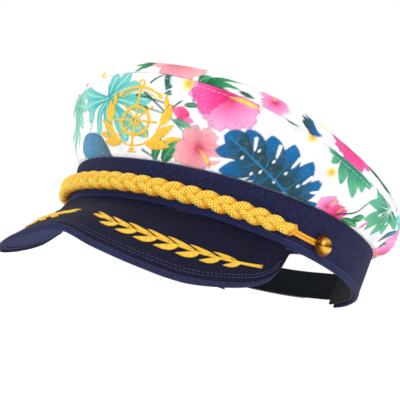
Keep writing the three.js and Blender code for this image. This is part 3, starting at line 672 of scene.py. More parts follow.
def coral_hibiscus(cotton):
    leaf(cotton, (17, -1), (20, 15), 6.0, GREEN)
    leaf(cotton, (23, -1), (31.5, 13), 8.0, GREEN)
    leaf(cotton, (36, -1), (48, -2), 4.0, DARK_GREEN)
    hibiscus(cotton, (44.5, 10.5), 62, 14.5, CORAL, 318)


def large_hibiscus(cotton):
    leaf(cotton, (36, 52), (39, 42), 6.0, GREEN)
    leaf(cotton, (34, 38), (38, 36), 3.4, DARK_GREEN)
    hibiscus(cotton, (54, 43), 28, 21, LIGHT_PINK, 352)
    for turn, far in ((176, 20), (214, 17)):
        petal(cotton, (53, 43), math.radians(turn), far, 0.95, HOT_PINK, turn)
    petal(cotton, (54, 41), math.radians(268), 18, 0.8, LIGHT_PINK, 2.0)
    blade(cotton, (54, 43), (68, 41.5), 2.4, petal_shape, (dye(250, 190, 70), dye(255, 222, 60)), 0.05)


def pink_pair(cotton):
    """Two small flowers on a bent stem, with a leaf on each side of it."""
    hibiscus(cotton, (132, 3), 20, 7.5, LIGHT_PINK)
    hibiscus(cotton, (141, 1), 50, 7.5, HOT_PINK)
    blade(cotton, (142, 2), (158, 19), 1.6, stem_shape, DARK_GREEN, -0.12)
    leaf(cotton, (146, 1), (163, 1.5), 5.4, GREEN)
    leaf(cotton, (152, 4), (162, 9), 5.6, GREEN)
    blade(cotton, (164, 2), (170, 12), 2.8, leaf_shape, (dye(246, 96, 150), dye(250, 140, 190)))


def plumeria_trio(cotton):
    for place, turn in (((-6, 3), 10), ((7, 5), 40), ((1, -7), 70)):
        plumeria(cotton, place, 9.0, turn)
    leaf(cotton, (10, -4), (19, -9), 6, GREEN)
    leaf(cotton, (-11, -3), (-19, -8), 5, DARK_GREEN)


LEAF_MOTIFS = (
    (monstera, (88, 8), 33), (teal_fan, (-22, 31), 27), (philodendron, (133, 30), 19),
    (pale_palm, (-74, 28), 25),
    (round_leaf, (177, 23), 22), (twig, (20, 30), 20),
)
FLOWER_MOTIFS = (
    (large_hibiscus, (54, 43), 20), (plumeria_trio, (0, 0), 14), (coral_hibiscus, (42, 9), 15),
    (pink_pair, (146, 5), 14),
)


def scatter(cotton, draw, region, counts, taken):
    """Sets the motifs down on the rest of the cloth, each as far as can be from the others, leaves first."""
    for motifs, count in zip((LEAF_MOTIFS, FLOWER_MOTIFS), counts):
        for i in range(count):
            motif, about, reach = motifs[i % len(motifs)]
            tries = [region(draw) for _ in range(60)]
            room = [min(np.hypot(*(spot - other)) - far for other, far in taken) for spot in tries]
            place = tries[int(np.argmax(room))]
            taken.append((place, reach))
            motif(cotton.moved(about, place, draw.uniform(0, 360)))


def print_side(cotton):
    """The side panel's print: s is mm round the panel from the front, h is mm above the band."""
    taken = [(np.array(spot, float), 14.0) for spot in ((-106, 10), (-106, 40), (206, 10), (206, 40))]

    def region(draw):
        away = draw.uniform(112, 434)
        return np.array([away if away < 327 else away - 654, draw.uniform(-4, 48)])

    scatter(cotton, np.random.default_rng(21), region, (15, 26), taken)
    found = np.flatnonzero((cotton.flat[:, 0] > -110) & (cotton.flat[:, 0] < 203))
    cotton.colour[found], cotton.ink[found] = np.array(GROUND), 0
    print_side_front(cotton)


def print_side_front(cotton):
    pale_palm(cotton)
    blade(cotton, (-44, 24), (-62, -4), 0.9, stem_shape, DARK_GREEN, 0.12)
    blade(cotton, (-58, 0), (-54, -8), 3.4, leaf_shape, DARK_GREEN)
    blade(cotton, (-17, -3), (-61, 8), 19, petal_shape, SLATE_BLUE, -0.1, dye(104, 150, 176), 7)
    teal_fan(cotton)
    blade(cotton, (-12, 52), (-9, 55), 7, leaf_shape, TEAL)
    blade(cotton, (-38, 52), (-44, 48), 5, leaf_shape, TEAL)
    twig(cotton)
    plumeria(cotton, (30, 46), 12, 20)
    coral_hibiscus(cotton)
    large_hibiscus(cotton)
    leaf_strips = (((67, 50), (84, 43), 6.5), ((84, 43), (96, 38.5), 5.5), ((98, 42), (106, 41), 3))
    for start, end, width in leaf_strips:
        blade(cotton, start, end, width, leaf_shape, DARK_GREEN, 0.05)
    monstera(cotton)
    plumeria(cotton, (103, 36), 9.5, 10)
    plumeria(cotton, (121, 22), 8.5, 40)
    philodendron(cotton)
    pink_pair(cotton)
    round_leaf(cotton)
    leaf(cotton, (196, 4), (204, 20), 6.0, BLUE)


def print_coat(cotton, shape, wrong=None):
    """The print as a colour for each point, its last value how much dye; wrong is the wrong side's share."""
    colour, ink = cotton.colour, cotton.ink
    if wrong is not None:
        colour = lerp(colour, np.array(WRONG_SIDE), wrong[:, None])
        ink = ink * (1 - wrong * 0.7)
    return np.concatenate([colour, ink[:, None]], 1).reshape(*shape, 4)


def printed(start):
    """Plain-woven cotton: the dye lies unevenly in it, the bare ground shows a trace of the weave, and soft
    patches of painted crease shade lie on the bare ground.
    """
    cloth = start.cloth()
    colour, ink = start.node("ShaderNodeAttribute", {"attribute_name": "print"}, None, ("Color", "Alpha"))
    x, y, _ = start.node("ShaderNodeSeparateXYZ", None, {0: cloth}, (0, 1, 2))
    weave = (x * (2 * math.pi / 0.7)).sine() * (y * (2 * math.pi / 0.7)).sine()
    wash = start.noise(cloth, 0.22, 4.0, 0.65)
    speck = start.noise(cloth, 0.9, 3.0, 0.8)
    uneven = ink * ((wash - 0.5) * 1.1 + (speck - 0.5) * 1.1)
    deep = start.node("ShaderNodeMix", {"data_type": "RGBA", "blend_type": "MULTIPLY"},
                      {0: 1.0, 6: colour, 7: (0.68, 0.68, 0.72, 1)}, (2,))
    light = start.node("ShaderNodeMix", {"data_type": "RGBA", "blend_type": "SCREEN"},
                       {0: 1.0, 6: colour, 7: (0.12, 0.13, 0.12, 1)}, (2,))
    # Painted shade: soft grey patches on the undyed ground stand in for the shade of creases in the cloth.
    painted_crease_shade = start.noise(cloth, 0.045, 2.0, 0.5).between(0.42, 0.68)
    darker = (uneven * -1.0).between(0.0, 0.5) + painted_crease_shade * (1.0 - ink) * 0.4
    # The dye's unevenness and the painted crease shade both darken the colour here.
    uneven_dye_and_painted_shade = darker.mix(uneven.between(0.0, 0.5).mix(colour, light), deep)
    return {
        "Base Color": uneven_dye_and_painted_shade,
        "Roughness": 0.82 + weave * 0.06,
        "Normal": start.relief(weave * 0.35 + speck, 0.00012, 0.5),
    }


COTTON_SHEEN = {"Sheen Weight": 0.12, "Sheen Roughness": 0.5, "Specular IOR Level": 0.2}
printed_cotton = finish("printed_cotton", printed, COTTON_SHEEN)

SIDE_COLUMNS = 1040
SIDE_ROWS = 74
LINING_ROWS = 15


def side_height(angle):
    """Length of the side panel's cloth from the band to the seam, in mm."""
    steps = side_point(np.asarray(angle, float)[..., None], np.linspace(0, 1, 17))
    return np.linalg.norm(np.diff(steps, axis=-2), axis=-1).sum(-1)


side_angle = np.linspace(-180, 180, SIDE_COLUMNS, endpoint=False)[None]
tall = side_height(side_angle[0])[None]
up_out = np.linspace(0, 1, SIDE_ROWS)[:, None]
up_in = np.linspace(1, 0, LINING_ROWS)[:, None]
rise_mm = up_out * tall
below_seam = tall - rise_mm
puckers = np.sin(side_angle * 1.02 + np.sin(side_angle * 0.37) * 3) * 0.22 * np.exp(-below_seam / 5)
gathers = np.sin(side_angle * 0.83 + np.sin(side_angle * 0.21) * 4) * 0.35
gathers = gathers * np.exp(-rise_mm / 7) * smooth(rise_mm, 0, 2)
slack = np.sin(math.pi * up_out) * waves(side_angle, rise_mm * 3, 11, 2.4)
rear_folds = smooth(np.abs(side_angle), 100, 150) * np.sin(math.pi * up_out)
rear_folds = rear_folds * np.sin(side_angle * 0.6 + rise_mm * 0.25) * 0.8
groove = -0.8 * np.exp(-((below_seam / 0.8) ** 2)) - 0.7 * (1 - smooth(rise_mm, 0, 1.6))
side_face = face_of(side_point, side_angle + 0 * up_out, up_out + 0 * side_angle, 0.02)
side_shift = (puckers + gathers + slack + rear_folds + groove)[..., None]
side_outer = side_point(side_angle, up_out) + side_face * side_shift
lining_face = face_of(side_point, side_angle + 0 * up_in, up_in + 0 * side_angle, 0.02)
lining_shift = np.sin(math.pi * up_in) * waves(side_angle, up_in * tall * 3, 11, 2.4)
side_inner = side_point(side_angle, up_in) + lining_face * (lining_shift - CLOTH)[..., None]
side_inner[0] = seam_point(side_angle[0], SEAM_INSIDE)
side_inner[-1] = side_point(side_angle[0], 0) - outward(side_angle[0]) * CLOTH
side_points = np.concatenate([side_outer, side_inner])
side_up = np.concatenate([up_out + 0 * side_angle, up_in + 0 * side_angle])
side_flat = np.stack([side_angle * PER_DEGREE + 0 * side_up, side_up * tall], -1)
side_cotton = Cotton(side_flat.reshape(-1, 2))
print_side(side_cotton)
inner_share = np.concatenate([0 * up_out, 0 * up_in + 1]) + 0 * side_angle
hem = smooth(np.abs(side_angle), 60, 75) * (side_flat[..., 1] < 8)
side_print = print_coat(side_cotton, side_up.shape, (inner_share * (1 - 0.85 * hem) * 0.82).ravel())
side_cloth = np.concatenate([side_flat, 0 * side_up[..., None]], -1)
side_skin = skin(side_points, wrap_rows=True, wrap_columns=True, cloth=side_cloth, print=side_print)
piece("crown_side", [side_skin], printed_cotton, "crown_side", "crown_side")

# Crown, top.
# A round panel of the same cotton, larger than the head, so that it puffs up and rolls over at its edge
# before it meets the side panel. The seam's allowance inside keeps its rim round.
TOP_RISE = 21
TOP_DIP = 4
TOP_SHOULDER = 5.5
TOP_RINGS = 144
LADDER = 4


def top_point(angle, share):
    point = seam_point(angle, share)
    rise = TOP_RISE * np.sqrt(np.clip(1 - share**TOP_SHOULDER, 0, 1)) - TOP_DIP * (1 - share * share) ** 2
    point[..., 2] += PIECE_GAP + rise
    return point


share_steps = np.sin(np.radians(np.linspace(0, 90, 2001))) ** (2 / TOP_SHOULDER)
steps_rise = top_point(0 * share_steps + 90, share_steps)[:, 2]
steps_run = np.hypot(*np.diff([SEAM_HALF_LENGTH * share_steps, steps_rise]))
arc_steps = np.concatenate([[0], np.cumsum(steps_run)])


def rings_of(count):
    """A round grid with even cells: ring k has 8k places. Gives angles and arc shares."""
    a, b = np.meshgrid(np.arange(-count, count + 1), np.arange(-count, count + 1), indexing="ij")
    level = np.maximum(np.abs(a), np.abs(b))
    safe = np.maximum(level, 1)
    turn = np.where(
        np.abs(a) >= np.abs(b),
        np.where(a >= 0, b / safe, 4 - b / safe),
        np.where(b >= 0, 2 - a / safe, 6 + a / safe),
    )
    return turn * 45.0 % 360, level / count


def top_places(count, drop):
    angle, arc = rings_of(count)
    share = np.interp(arc * arc_steps[-1], arc_steps, share_steps)
    point = top_point(angle, share)
    from_rim = (1 - arc) * arc_steps[-1]
    lumps = (1 - share**6) * (
        1.1 * np.sin(point[..., 0] * 0.047 + 0.8) * np.sin(point[..., 1] * 0.041 + 2.1)
        + 0.6 * np.sin(point[..., 0] * 0.09 + point[..., 1] * 0.06 + 4.0)
    )
    puckers = 0.4 * np.sin(angle * 0.95 + np.sin(np.radians(angle) * 6) * 3)
    puckers = puckers * np.exp(-from_rim / 8) * smooth(from_rim, 0, 2)
    groove = 0.8 * np.exp(-((from_rim / 0.8) ** 2))
    away = unit(np.stack([point[..., 0], point[..., 1] - SEAM_CENTRE_Y, 1e-6 + 0 * arc], -1))
    point = point + away * (puckers - groove)[..., None]
    point[..., 2] += lumps + 0.5 * puckers
    if drop:
        steep = smooth(arc, 0.75, 1.0)
        point = point - away * (drop * steep)[..., None]
        point[..., 2] -= drop * (1 - steep)
    seam_turn = np.radians(angle)
    flat = np.stack([SEAM_HALF_WIDTH * np.sin(seam_turn), -SEAM_HALF_LENGTH * np.cos(seam_turn)], -1)
    flat = flat * (arc * arc_steps[-1] / SEAM_HALF_LENGTH)[..., None]
    return point, flat


def print_top(cotton):
    """The top's print, in mm on the flat cloth from its centre."""
    rim_spots = ((0, -104), (40, -100), (-40, -101), (88, -60), (102, -30))
    taken = [(np.array(spot, float), 6.0) for spot in rim_spots]

    def region(draw):
        far, turn = 116 * math.sqrt(draw.uniform()), draw.uniform(0, 2 * math.pi)
        return np.array([far * math.cos(turn), far * math.sin(turn)])

    scatter(cotton, np.random.default_rng(34), region, (22, 30), taken)
    bare = (cotton.flat[:, 1] < -84) & (np.abs(cotton.flat[:, 0]) < 60)
    bare |= (cotton.flat[:, 0] > 40) & (np.hypot(*cotton.flat.T) > 88) & (cotton.flat[:, 1] < 24)
    cotton.colour[bare], cotton.ink[bare] = np.array(GROUND), 0
    plumeria(cotton, (-40, -107), 9, 30)
    for turn in (160, 186, 205):
        way = np.array([math.cos(math.radians(turn)), math.sin(math.radians(turn))])
        blade(cotton, (6, -108), np.array([6, -108]) + way * 17, 4, leaf_shape, GREEN)
    hibiscus(cotton, (19, -100), 200, 19, CORAL, 120)
    for turn in (2, 17, 32, 48):
        way = np.array([math.cos(math.radians(turn)), math.sin(math.radians(turn))])
        blade(cotton, (41, -108), np.array([41, -108]) + way * 26, 4.2, leaf_shape, GREEN)
    leaf(cotton, (40, -110), (44, -101), 6, GREEN)
    hibiscus(cotton, (78, -80), 40, 10, LIGHT_PINK, 140)
    blade(cotton, (62, -96), (72, -91), 3, leaf_shape, DARK_GREEN)
    for start, end in (((99, -62), (80, -49)), ((92, -68), (99, -54)), ((84, -60), (90, -49))):
        blade(cotton, start, end, 13, petal_shape, BLUE)
    blade(cotton, (88, -66), (93, -61), 3, leaf_shape, DARK_GREEN)
    plumeria(cotton, (92, -48), 13, 15)
    hibiscus(cotton, (103, -31), 60, 18, HOT_PINK, 200)
    for far in (110, 102):
        blade(cotton, (far, -18), (far - 6, 32), 13, leaf_shape, DARK_GREEN, -0.05, dye(60, 150, 110), 9)


outer_point, outer_flat = top_places(TOP_RINGS, 0)
inner_point, inner_flat = top_places(TOP_RINGS // LADDER, CLOTH)
top_cottons = []
for flat in (outer_flat, inner_flat):
    cotton = Cotton(flat.reshape(-1, 2))
    print_top(cotton)
    top_cottons.append(cotton)


def rim_loop(count):
    """The outer ring of a round grid, in order."""
    side = 2 * count + 1
    line = np.arange(side)
    first = np.stack([line, 0 * line], 1)[:-1]
    second = np.stack([0 * line + side - 1, line], 1)[:-1]
    third = np.stack([line[::-1], 0 * line + side - 1], 1)[:-1]
    fourth = np.stack([0 * line, line[::-1]], 1)[:-1]
    loop = np.concatenate([first, second, third, fourth])
    return loop[:, 0] * side + loop[:, 1]


outer_skin = skin(outer_point, cloth=0 * outer_point, print=print_coat(top_cottons[0], outer_flat.shape[:2]))
wrong = np.full(len(inner_flat.reshape(-1, 2)), 0.82)
inner_coat = print_coat(top_cottons[1], inner_flat.shape[:2], wrong)
inner_skin = skin(inner_point, cloth=0 * inner_point, print=inner_coat)
fine, coarse = rim_loop(TOP_RINGS), rim_loop(TOP_RINGS // LADDER) + len(outer_skin[0])
rungs = []
for i, corner in enumerate(coarse):
    beyond = coarse[(i + 1) % len(coarse)]
    for k in range(LADDER):
        near_fine, far_fine = fine[LADDER * i + k], fine[(LADDER * i + k + 1) % len(fine)]
        rungs.append((corner if k < LADDER // 2 else beyond, near_fine, far_fine, far_fine))
    middle = fine[LADDER * i + LADDER // 2]
    rungs.append((corner, middle, beyond, beyond))
top_quads = np.concatenate([outer_skin[1], inner_skin[1][:, ::-1] + len(outer_skin[0]), np.array(rungs)])
top_marks = {
    "cloth": np.concatenate([
        np.pad(flat.reshape(-1, 2), ((0, 0), (0, 1))) for flat in (outer_flat, inner_flat)
    ]),
    "print": np.concatenate([outer_skin[2]["print"], inner_skin[2]["print"]]),
}
top_skin = np.concatenate([outer_skin[0], inner_skin[0]]), top_quads, top_marks
piece("crown_top", [top_skin], printed_cotton, "crown_top", "crown_top")

# Topstitching.
# A row of small grey stitches runs round the side panel just below the seam and holds the allowance down.
STITCH_PITCH = 3.4
STITCH_LENGTH = 2.3
STITCH_RADIUS = 0.15
STITCH_DROP = 2.6


def stitches(surface, facing, runs, lift, pitch, length, radius):
    """Stitches as short rounded threads along a line of (first, second) coordinates on a surface."""
    line = surface(*runs)
    far = np.concatenate([[0], np.cumsum(np.linalg.norm(np.diff(line, axis=0), axis=1))])
    made = []
    for start in np.arange(pitch / 2, far[-1] - length, pitch):
        spots = start + length * np.linspace(0, 1, 6)
        places = [np.interp(spots, far, coordinate) for coordinate in runs]
        points, up = surface(*places), facing(*places)
        bow = np.sin(np.pi * np.linspace(0.06, 0.94, 6))[:, None]
        points = points + up * (lift + radius * 0.6 * bow)
        ahead = unit(np.gradient(points, axis=0))
        aside = unit(np.cross(ahead, up))
        turn = np.linspace(0, 2 * np.pi, 6, endpoint=False)[None, :, None]
        round_way = np.cos(turn) * aside[:, None] + np.sin(turn) * up[:, None]
        rim = points[:, None] + radius * bow[:, None] ** 0.5 * round_way
        rim = capped(rim)
        made.append(skin(rim, wrap_columns=True, cloth=0 * rim + np.array([start, 0, 0])))
    return made


def thread_of(dark, light, shine):
    """Spun thread: fine ply marks and an uneven tone."""

    def surface(start):
        place = start.node("ShaderNodeTexCoord", None, None, ("Object",))
        ply = start.noise(place, 2600.0, 2.0)
        return {
            "Base Color": ply.between(0.3, 0.7).mix(dark, light),
            "Roughness": 0.75 - ply * shine,
            "Normal": start.relief(ply, 0.0001, 0.6),
        }

    return surface


grey_thread = finish(
    "grey_thread", thread_of(dye(196, 200, 212), dye(226, 228, 236), 0.1), {"Sheen Weight": 0.2}
)
seam_angles = np.linspace(-180, 180, 900)
seam_up = 1 - STITCH_DROP / side_height(seam_angles)


def sewn_side(angle, up):
    shift = np.sin(math.pi * up) * waves(angle, up * side_height(angle) * 3, 11, 2.4)
    shift = shift + np.sin(angle * 1.02 + np.sin(angle * 0.37) * 3) * 0.22 * math.exp(-STITCH_DROP / 5)
    return side_point(angle, up) + face_of(side_point, angle, up, 0.02) * shift[..., None]


seam_stitches = stitches(
    sewn_side, lambda angle, up: face_of(side_point, angle, up, 0.02), (seam_angles, seam_up),
    0.02, STITCH_PITCH, STITCH_LENGTH, STITCH_RADIUS,
)
piece("crown_topstitching", seam_stitches, grey_thread, "crown_side")

# Visor.
# A stiff curved board between two layers of navy twill, sewn under the band's front. The cloth below is a
# thinner, paler twill, and two rows of stitches run round the visor inside its bound edge.
VISOR_HALF_ANGLE = 68
VISOR_REACH = 41.5
VISOR_DROP = 44
VISOR_WALL = 2.4
VISOR_ARCH = 1.5
VISOR_TUCK = 2
VISOR_END_WIDTH = 2.5
VISOR_ROLL = (1.8, 7.5)
VISOR_POINT = 0.1
VISOR_END_SHARE = 0.3
BINDING_WIDTH = 4.5
BINDING_THICKNESS = 3.6
VISOR_EDGE = (
    (0, 0, 1, 0.76), (0.2, 0.32, 0.965, 0.9), (0.4, 0.6, 0.85, 0.99), (0.6, 0.83, 0.68, 1),
    (0.8, 1, 0.42, 0.81), (0.9, 1.04, 0.22, 0.56), (1, 1.01, 0, 0.07),
)
visor_end = ring(VISOR_HALF_ANGLE, 0, 0)
visor_front = HEAD_HALF_LENGTH + VISOR_REACH + visor_end[1]
edge_rows = [(-row[0], -row[1], *row[2:]) for row in VISOR_EDGE[:0:-1]] + list(VISOR_EDGE)
edge_around = np.array([row[0] for row in edge_rows])
edge_points = np.array([
    (row[1] * visor_end[0], visor_end[1] - row[2] * visor_front, -row[3] * VISOR_DROP) for row in edge_rows
])
before_edge = 2 * edge_points[0] - edge_points[1]
after_edge = 2 * edge_points[-1] - edge_points[-2]
edge_points = np.concatenate([[before_edge], edge_points, [after_edge]])


def visor_edge(around):
    """The visor's outer edge: a smooth curve through its measured points."""
    i = np.clip(np.searchsorted(edge_around, around, side="left") - 1, 0, len(edge_around) - 2)
    t = ((around - edge_around[i]) / (edge_around[i + 1] - edge_around[i]))[..., None]
    before, start, end, after = (edge_points[i + k] for k in range(4))
    lead, trail = (end - before) / 2, (after - start) / 2
    curve = (2 * start - 2 * end + lead + trail) * t**3 + (3 * end - 3 * start - 2 * lead - trail) * t**2
    return curve + lead * t + start


def visor_rule(around):
    """Both ends of the straight line that crosses the visor there, and how far out it reaches."""
    angle = around * VISOR_HALF_ANGLE
    start = ring(angle, -VISOR_TUCK, 0)
    start[..., 2] = -PIECE_GAP
    end = visor_edge(around)
    reach = np.hypot(*np.moveaxis(end - start, -1, 0)[:2])
    return start, end + outward(angle) * np.maximum(0, VISOR_END_WIDTH - reach / 2)[..., None], reach


def visor_surface(around, out):
    around, out = np.broadcast_arrays(np.asarray(around, float), np.asarray(out, float))
    start, end, reach = visor_rule(around)
    out = out * (0.15 + 0.85 * smooth(1 - np.abs(around), 0, VISOR_POINT) ** 0.6)
    point = lerp(start, end, out[..., None])
    point[..., 2] += VISOR_ARCH * 4 * out * (1 - out) * np.minimum(1, reach / VISOR_REACH)
    level = (1 - smooth(out * reach, *VISOR_ROLL)) * np.minimum(1, reach / 12)
    point[..., 2] += (-PIECE_GAP - point[..., 2]) * level
    return point


def visor_face(around, out):
    left, right = np.minimum(around + 0.01, 1), np.maximum(around - 0.01, -1)
    along = visor_surface(left, out) - visor_surface(right, out)
    across = visor_surface(around, out + 0.02) - visor_surface(around, out - 0.02)
    return unit(np.cross(across, along))


def visor_width(around):
    start, end, _ = visor_rule(np.asarray(around, float))
    return np.linalg.norm(end - start, axis=-1)


visor_around = np.sin(np.radians(np.linspace(-90, 90, 380)))
wide = visor_width(visor_around)
plate_end = np.minimum((wide + 1.2) / (wide + BINDING_WIDTH), 1)
out_share = np.linspace(0, 1, 56)[:, None]
plate_out = out_share * plate_end
visor_top = visor_surface(visor_around, plate_out)
visor_up = visor_face(visor_around + 0 * plate_out, plate_out)
from_edge = (1 - plate_out) * wide
ridge = np.exp(-(((from_edge - 6.6) / 0.45) ** 2)) + np.exp(-(((from_edge - 9.0) / 0.45) ** 2))
valley = np.exp(-(((from_edge - 7.8) / 0.5) ** 2))
steps_along = np.linalg.norm(np.diff(visor_surface(visor_around, 0.8), axis=0), axis=1)
run_of = np.concatenate([[0], np.cumsum(steps_along)])
run_of = run_of - run_of[-1] / 2
dimple = 0.12 * (valley - ridge * 0.3) * smooth(wide, 15, 30)
unevenness = 0.25 * waves(visor_around * 60, plate_out * 40, 15, 1.2)
visor_upper = visor_top + visor_up * (unevenness - dimple)[..., None]
thinned = lerp(VISOR_END_SHARE, 1, smooth(1 - np.abs(visor_around), 0, VISOR_POINT))
visor_lower = (visor_top - visor_up * (VISOR_WALL * thinned)[:, None])[::-1]
visor_points = np.concatenate([visor_upper, visor_lower], 0)
visor_cloth = np.stack([run_of + 0 * plate_out, from_edge, 0 * plate_out], -1)
under = visor_cloth[::-1].copy()
under[..., 2] = 1
visor_cloth = np.concatenate([visor_cloth, under])
visor_points = np.moveaxis(capped(np.moveaxis(visor_points, 1, 0)), 0, 1)
visor_cloth = np.moveaxis(capped(np.moveaxis(visor_cloth, 1, 0)), 0, 1)


def visor_twill(start):
    """The band's twill on top, and a paler plain cloth below with a dark line inside the rim."""
    upper = twill(dye(3, 3, 16), dye(19, 19, 58), 1.0)(start)
    cloth = start.cloth()
    _, inwards, below = start.node("ShaderNodeSeparateXYZ", None, {0: cloth}, (0, 1, 2))
    grain = start.noise(cloth, 1.9, 3.0, 0.75)
    paler = grain.between(0.25, 0.75).mix(dye(52, 56, 96), dye(86, 92, 138))
    line = inwards.between(4.6, 5.4) * (1 - inwards.between(6.0, 6.8))
    below_colour = line.mix(paler, dye(22, 24, 52))
    side = below.between(0.4, 0.6)
    return {
        "Base Color": side.mix(upper["Base Color"], below_colour),
        "Roughness": upper["Roughness"],
        "Normal": start.relief(grain, 0.0002, 0.6),
    }


visor_cover = finish("visor_twill", visor_twill, NAVY_SHEEN)
piece("visor", [skin(visor_points, wrap_rows=True, cloth=visor_cloth)], visor_cover, "visor", "visor")

# Visor binding.
# A strip of the same twill folded round the visor's edge over a filler cord, so it stands a little proud.
bind_start = wide / (wide + BINDING_WIDTH) + 3 * PIECE_GAP / wide
over = (BINDING_THICKNESS - VISOR_WALL) / 2
radius = BINDING_THICKNESS / 2
bend_out = np.maximum(1 - radius / wide, bind_start + 0.2 / wide)
rows = []
for share in np.linspace(0, 1, 6)[:-1]:
    out = lerp(bind_start, bend_out, share)
    swell = radius * lerp(0.7, 1.0, math.sin(math.pi / 2 * share))
    rows.append((out, -VISOR_WALL / 2 + swell + 0 * out, 0 * out))
for turn in np.radians(np.linspace(90, -90, 13)):
    turn_rise, turn_past = radius * math.sin(turn), radius * math.cos(turn)
    rows.append((bend_out, -VISOR_WALL / 2 + turn_rise + 0 * wide, turn_past + 0 * wide))
for share in np.linspace(1, 0, 6)[1:]:
    out = lerp(bind_start, bend_out, share)
    swell = radius * lerp(0.7, 1.0, math.sin(math.pi / 2 * share))
    rows.append((out, -VISOR_WALL / 2 - swell + 0 * out, 0 * out))
bind_out, bind_rise, bind_past = (np.array([row[i] for row in rows]) for i in range(3))
away = unit(visor_surface(visor_around, 1) - visor_surface(visor_around, 0.97))
away = away + 0 * bind_out[..., None]
narrow = smooth(1 - np.abs(visor_around), -0.01, VISOR_POINT)
bind_rise = bind_rise * thinned
bind_up = visor_face(visor_around + 0 * bind_out, bind_out)
bind_points = visor_surface(visor_around, bind_out) + bind_up * bind_rise[..., None]
bind_points = bind_points + away * (np.minimum(bind_past, (1 - bend_out) * wide) * narrow)[..., None]
bind_across = np.arange(len(rows))[:, None] * 0.7
bind_cloth = np.stack([run_of + 0 * bind_out, bind_across + 0 * bind_out, 0 * bind_out], -1)
bind_points = np.moveaxis(capped(np.moveaxis(bind_points, 1, 0)), 0, 1)
bind_cloth = np.moveaxis(capped(np.moveaxis(bind_cloth, 1, 0)), 0, 1)
binding_twill = finish("binding_twill", twill(dye(18, 19, 48), dye(58, 60, 104), 0.9), NAVY_SHEEN)
bind_skin = skin(bind_points, wrap_rows=True, cloth=bind_cloth)
piece("visor_binding", [bind_skin], binding_twill, "visor_binding", "visor_binding")
navy_thread = finish("navy_thread", thread_of(dye(44, 46, 86), dye(84, 88, 136), 0.2), {"Sheen Weight": 0.1})
stitch_rows = []
for inside in (6.6, 9.0):
    places = np.linspace(-0.93, 0.93, 500)
    stitch_out = 1 - inside / visor_width(places)
    stitch_rows += stitches(visor_surface, visor_face, (places, stitch_out), 0.03, 2.6, 2.0, 0.2)
piece("visor_stitches", stitch_rows, navy_thread, "visor")

# Snap strap.
# Two halves of black moulded plastic cross the back opening, one with holes and one with studs. Their tails
# are sewn in between the band and the sweatband.
def moulded(start):
    place = start.node("ShaderNodeTexCoord", None, None, ("Object",))
    grain = start.noise(place, 1400.0, 3.0, 0.6)
    scuff = start.noise(place, 90.0, 4.0, 0.7)
    return {
        "Base Color": scuff.between(0.35, 0.8).mix(dye(12, 12, 13), dye(34, 34, 37)),
        "Roughness": 0.34 + scuff * 0.22,
        "Normal": start.relief(grain, 0.00012, 0.5),
    }


moulded_plastic = finish("moulded_plastic", moulded, {"Specular IOR Level": 0.45})
for node in ("strap_holes", "strap_studs"):
    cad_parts[node].data.materials.clear()
    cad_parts[node].data.materials.append(moulded_plastic)

# Plaited cord.
# Three strands of gold rayon braid, plaited flat and laid along the band. Each strand is itself braided from
# eight yarns, and its ends are whipped round and go on as two thin cords to the buttons.
STRAND_RADIUS = 2.35
STRAND_SLACK = 0.22
PLAIT_SWING = 3.0
PLAIT_DEPTH = 1.35
PLAIT_PERIOD = 29
PLAIT_HEIGHT = 8.6
PLAIT_END_ANGLE = 62
PLAIT_END_TAPER = 9
CORD_RADIUS = 1.0
CORD_SPREAD = 0.9
BUTTON_ANGLE = 76
BUTTON_HEIGHT = 9.2
ROUND_PER_DEGREE = math.radians(1) * (HEAD_HALF_WIDTH + HEAD_HALF_LENGTH) / 2
YARNS_EACH_WAY = 4
YARN_TURN = 6.4
YARN_RADIUS = 0.62


def plait_lift(angle):
    return lerp(PLAIT_HEIGHT, BUTTON_HEIGHT, (angle / BUTTON_ANGLE) ** 2)


def strand_line(angle, phase):
    turn = 2 * np.pi * angle * ROUND_PER_DEGREE / PLAIT_PERIOD + phase
    left = (PLAIT_END_ANGLE - np.abs(angle)) / PLAIT_END_TAPER
    swing = (PLAIT_SWING + STRAND_SLACK) * np.minimum(1, 0.3 + 0.7 * left)
    depth = PLAIT_DEPTH + STRAND_RADIUS + PIECE_GAP + PLAIT_DEPTH * np.sin(2 * turn)
    return ring(angle, depth, plait_lift(angle) + swing * np.sin(turn))


def spun(line, angle, phase_of, radius_of, thick, sides=5, tone=0.0):
    """A yarn that winds round a line: phase_of and radius_of say where it is for each mm of the line."""
    far = np.concatenate([[0], np.cumsum(np.linalg.norm(np.diff(line, axis=0), axis=1))])
    ahead = unit(np.gradient(line, axis=0))
    up = outward(angle)
    aside = unit(np.cross(ahead, up))
    up = np.cross(aside, ahead)
    phase, wide = phase_of(far)[:, None], radius_of(far)[:, None]
    centre = line + wide * (np.cos(phase) * aside + np.sin(phase) * up)
    yarn_ahead = unit(np.gradient(centre, axis=0))
    away = unit(centre - line + 1e-9 * up)
    yarn_aside = unit(np.cross(yarn_ahead, away))
    away = np.cross(yarn_aside, yarn_ahead)
    turn = np.linspace(0, 2 * np.pi, sides, endpoint=False)[None, :, None]
    round_way = np.cos(turn) * yarn_aside[:, None] * 1.15 + np.sin(turn) * away[:, None]
    rim = centre[:, None] + thick * round_way
    height = np.broadcast_to(wide, (len(line), sides)) + thick * 0.6 * np.sin(turn)[..., 0]
    along = np.broadcast_to(far[:, None], height.shape)
    # The third value is the yarn's height plus tone; the braid's material turns it into painted highlight and
    # painted shade.
    cloth = np.stack([along, turn[..., 0] + 0 * height, height + tone], -1)
    return skin(capped(rim), wrap_columns=True, cloth=capped(cloth))


def braided(line, angle, radius, turn_length, thick, each_way, tone):
    yarns = []
    pulse = radius * 0.2
    for way in (1, -1):
        for i in range(each_way):
            def phase_of(far, way=way, i=i):
                return way * 2 * np.pi * (far / turn_length + i / each_way)

            def radius_of(far, way=way):
                return radius + way * pulse * np.cos(each_way * 2 * np.pi * far / turn_length)

            yarns.append(spun(line, angle, phase_of, radius_of, thick, 5, tone))
    return yarns


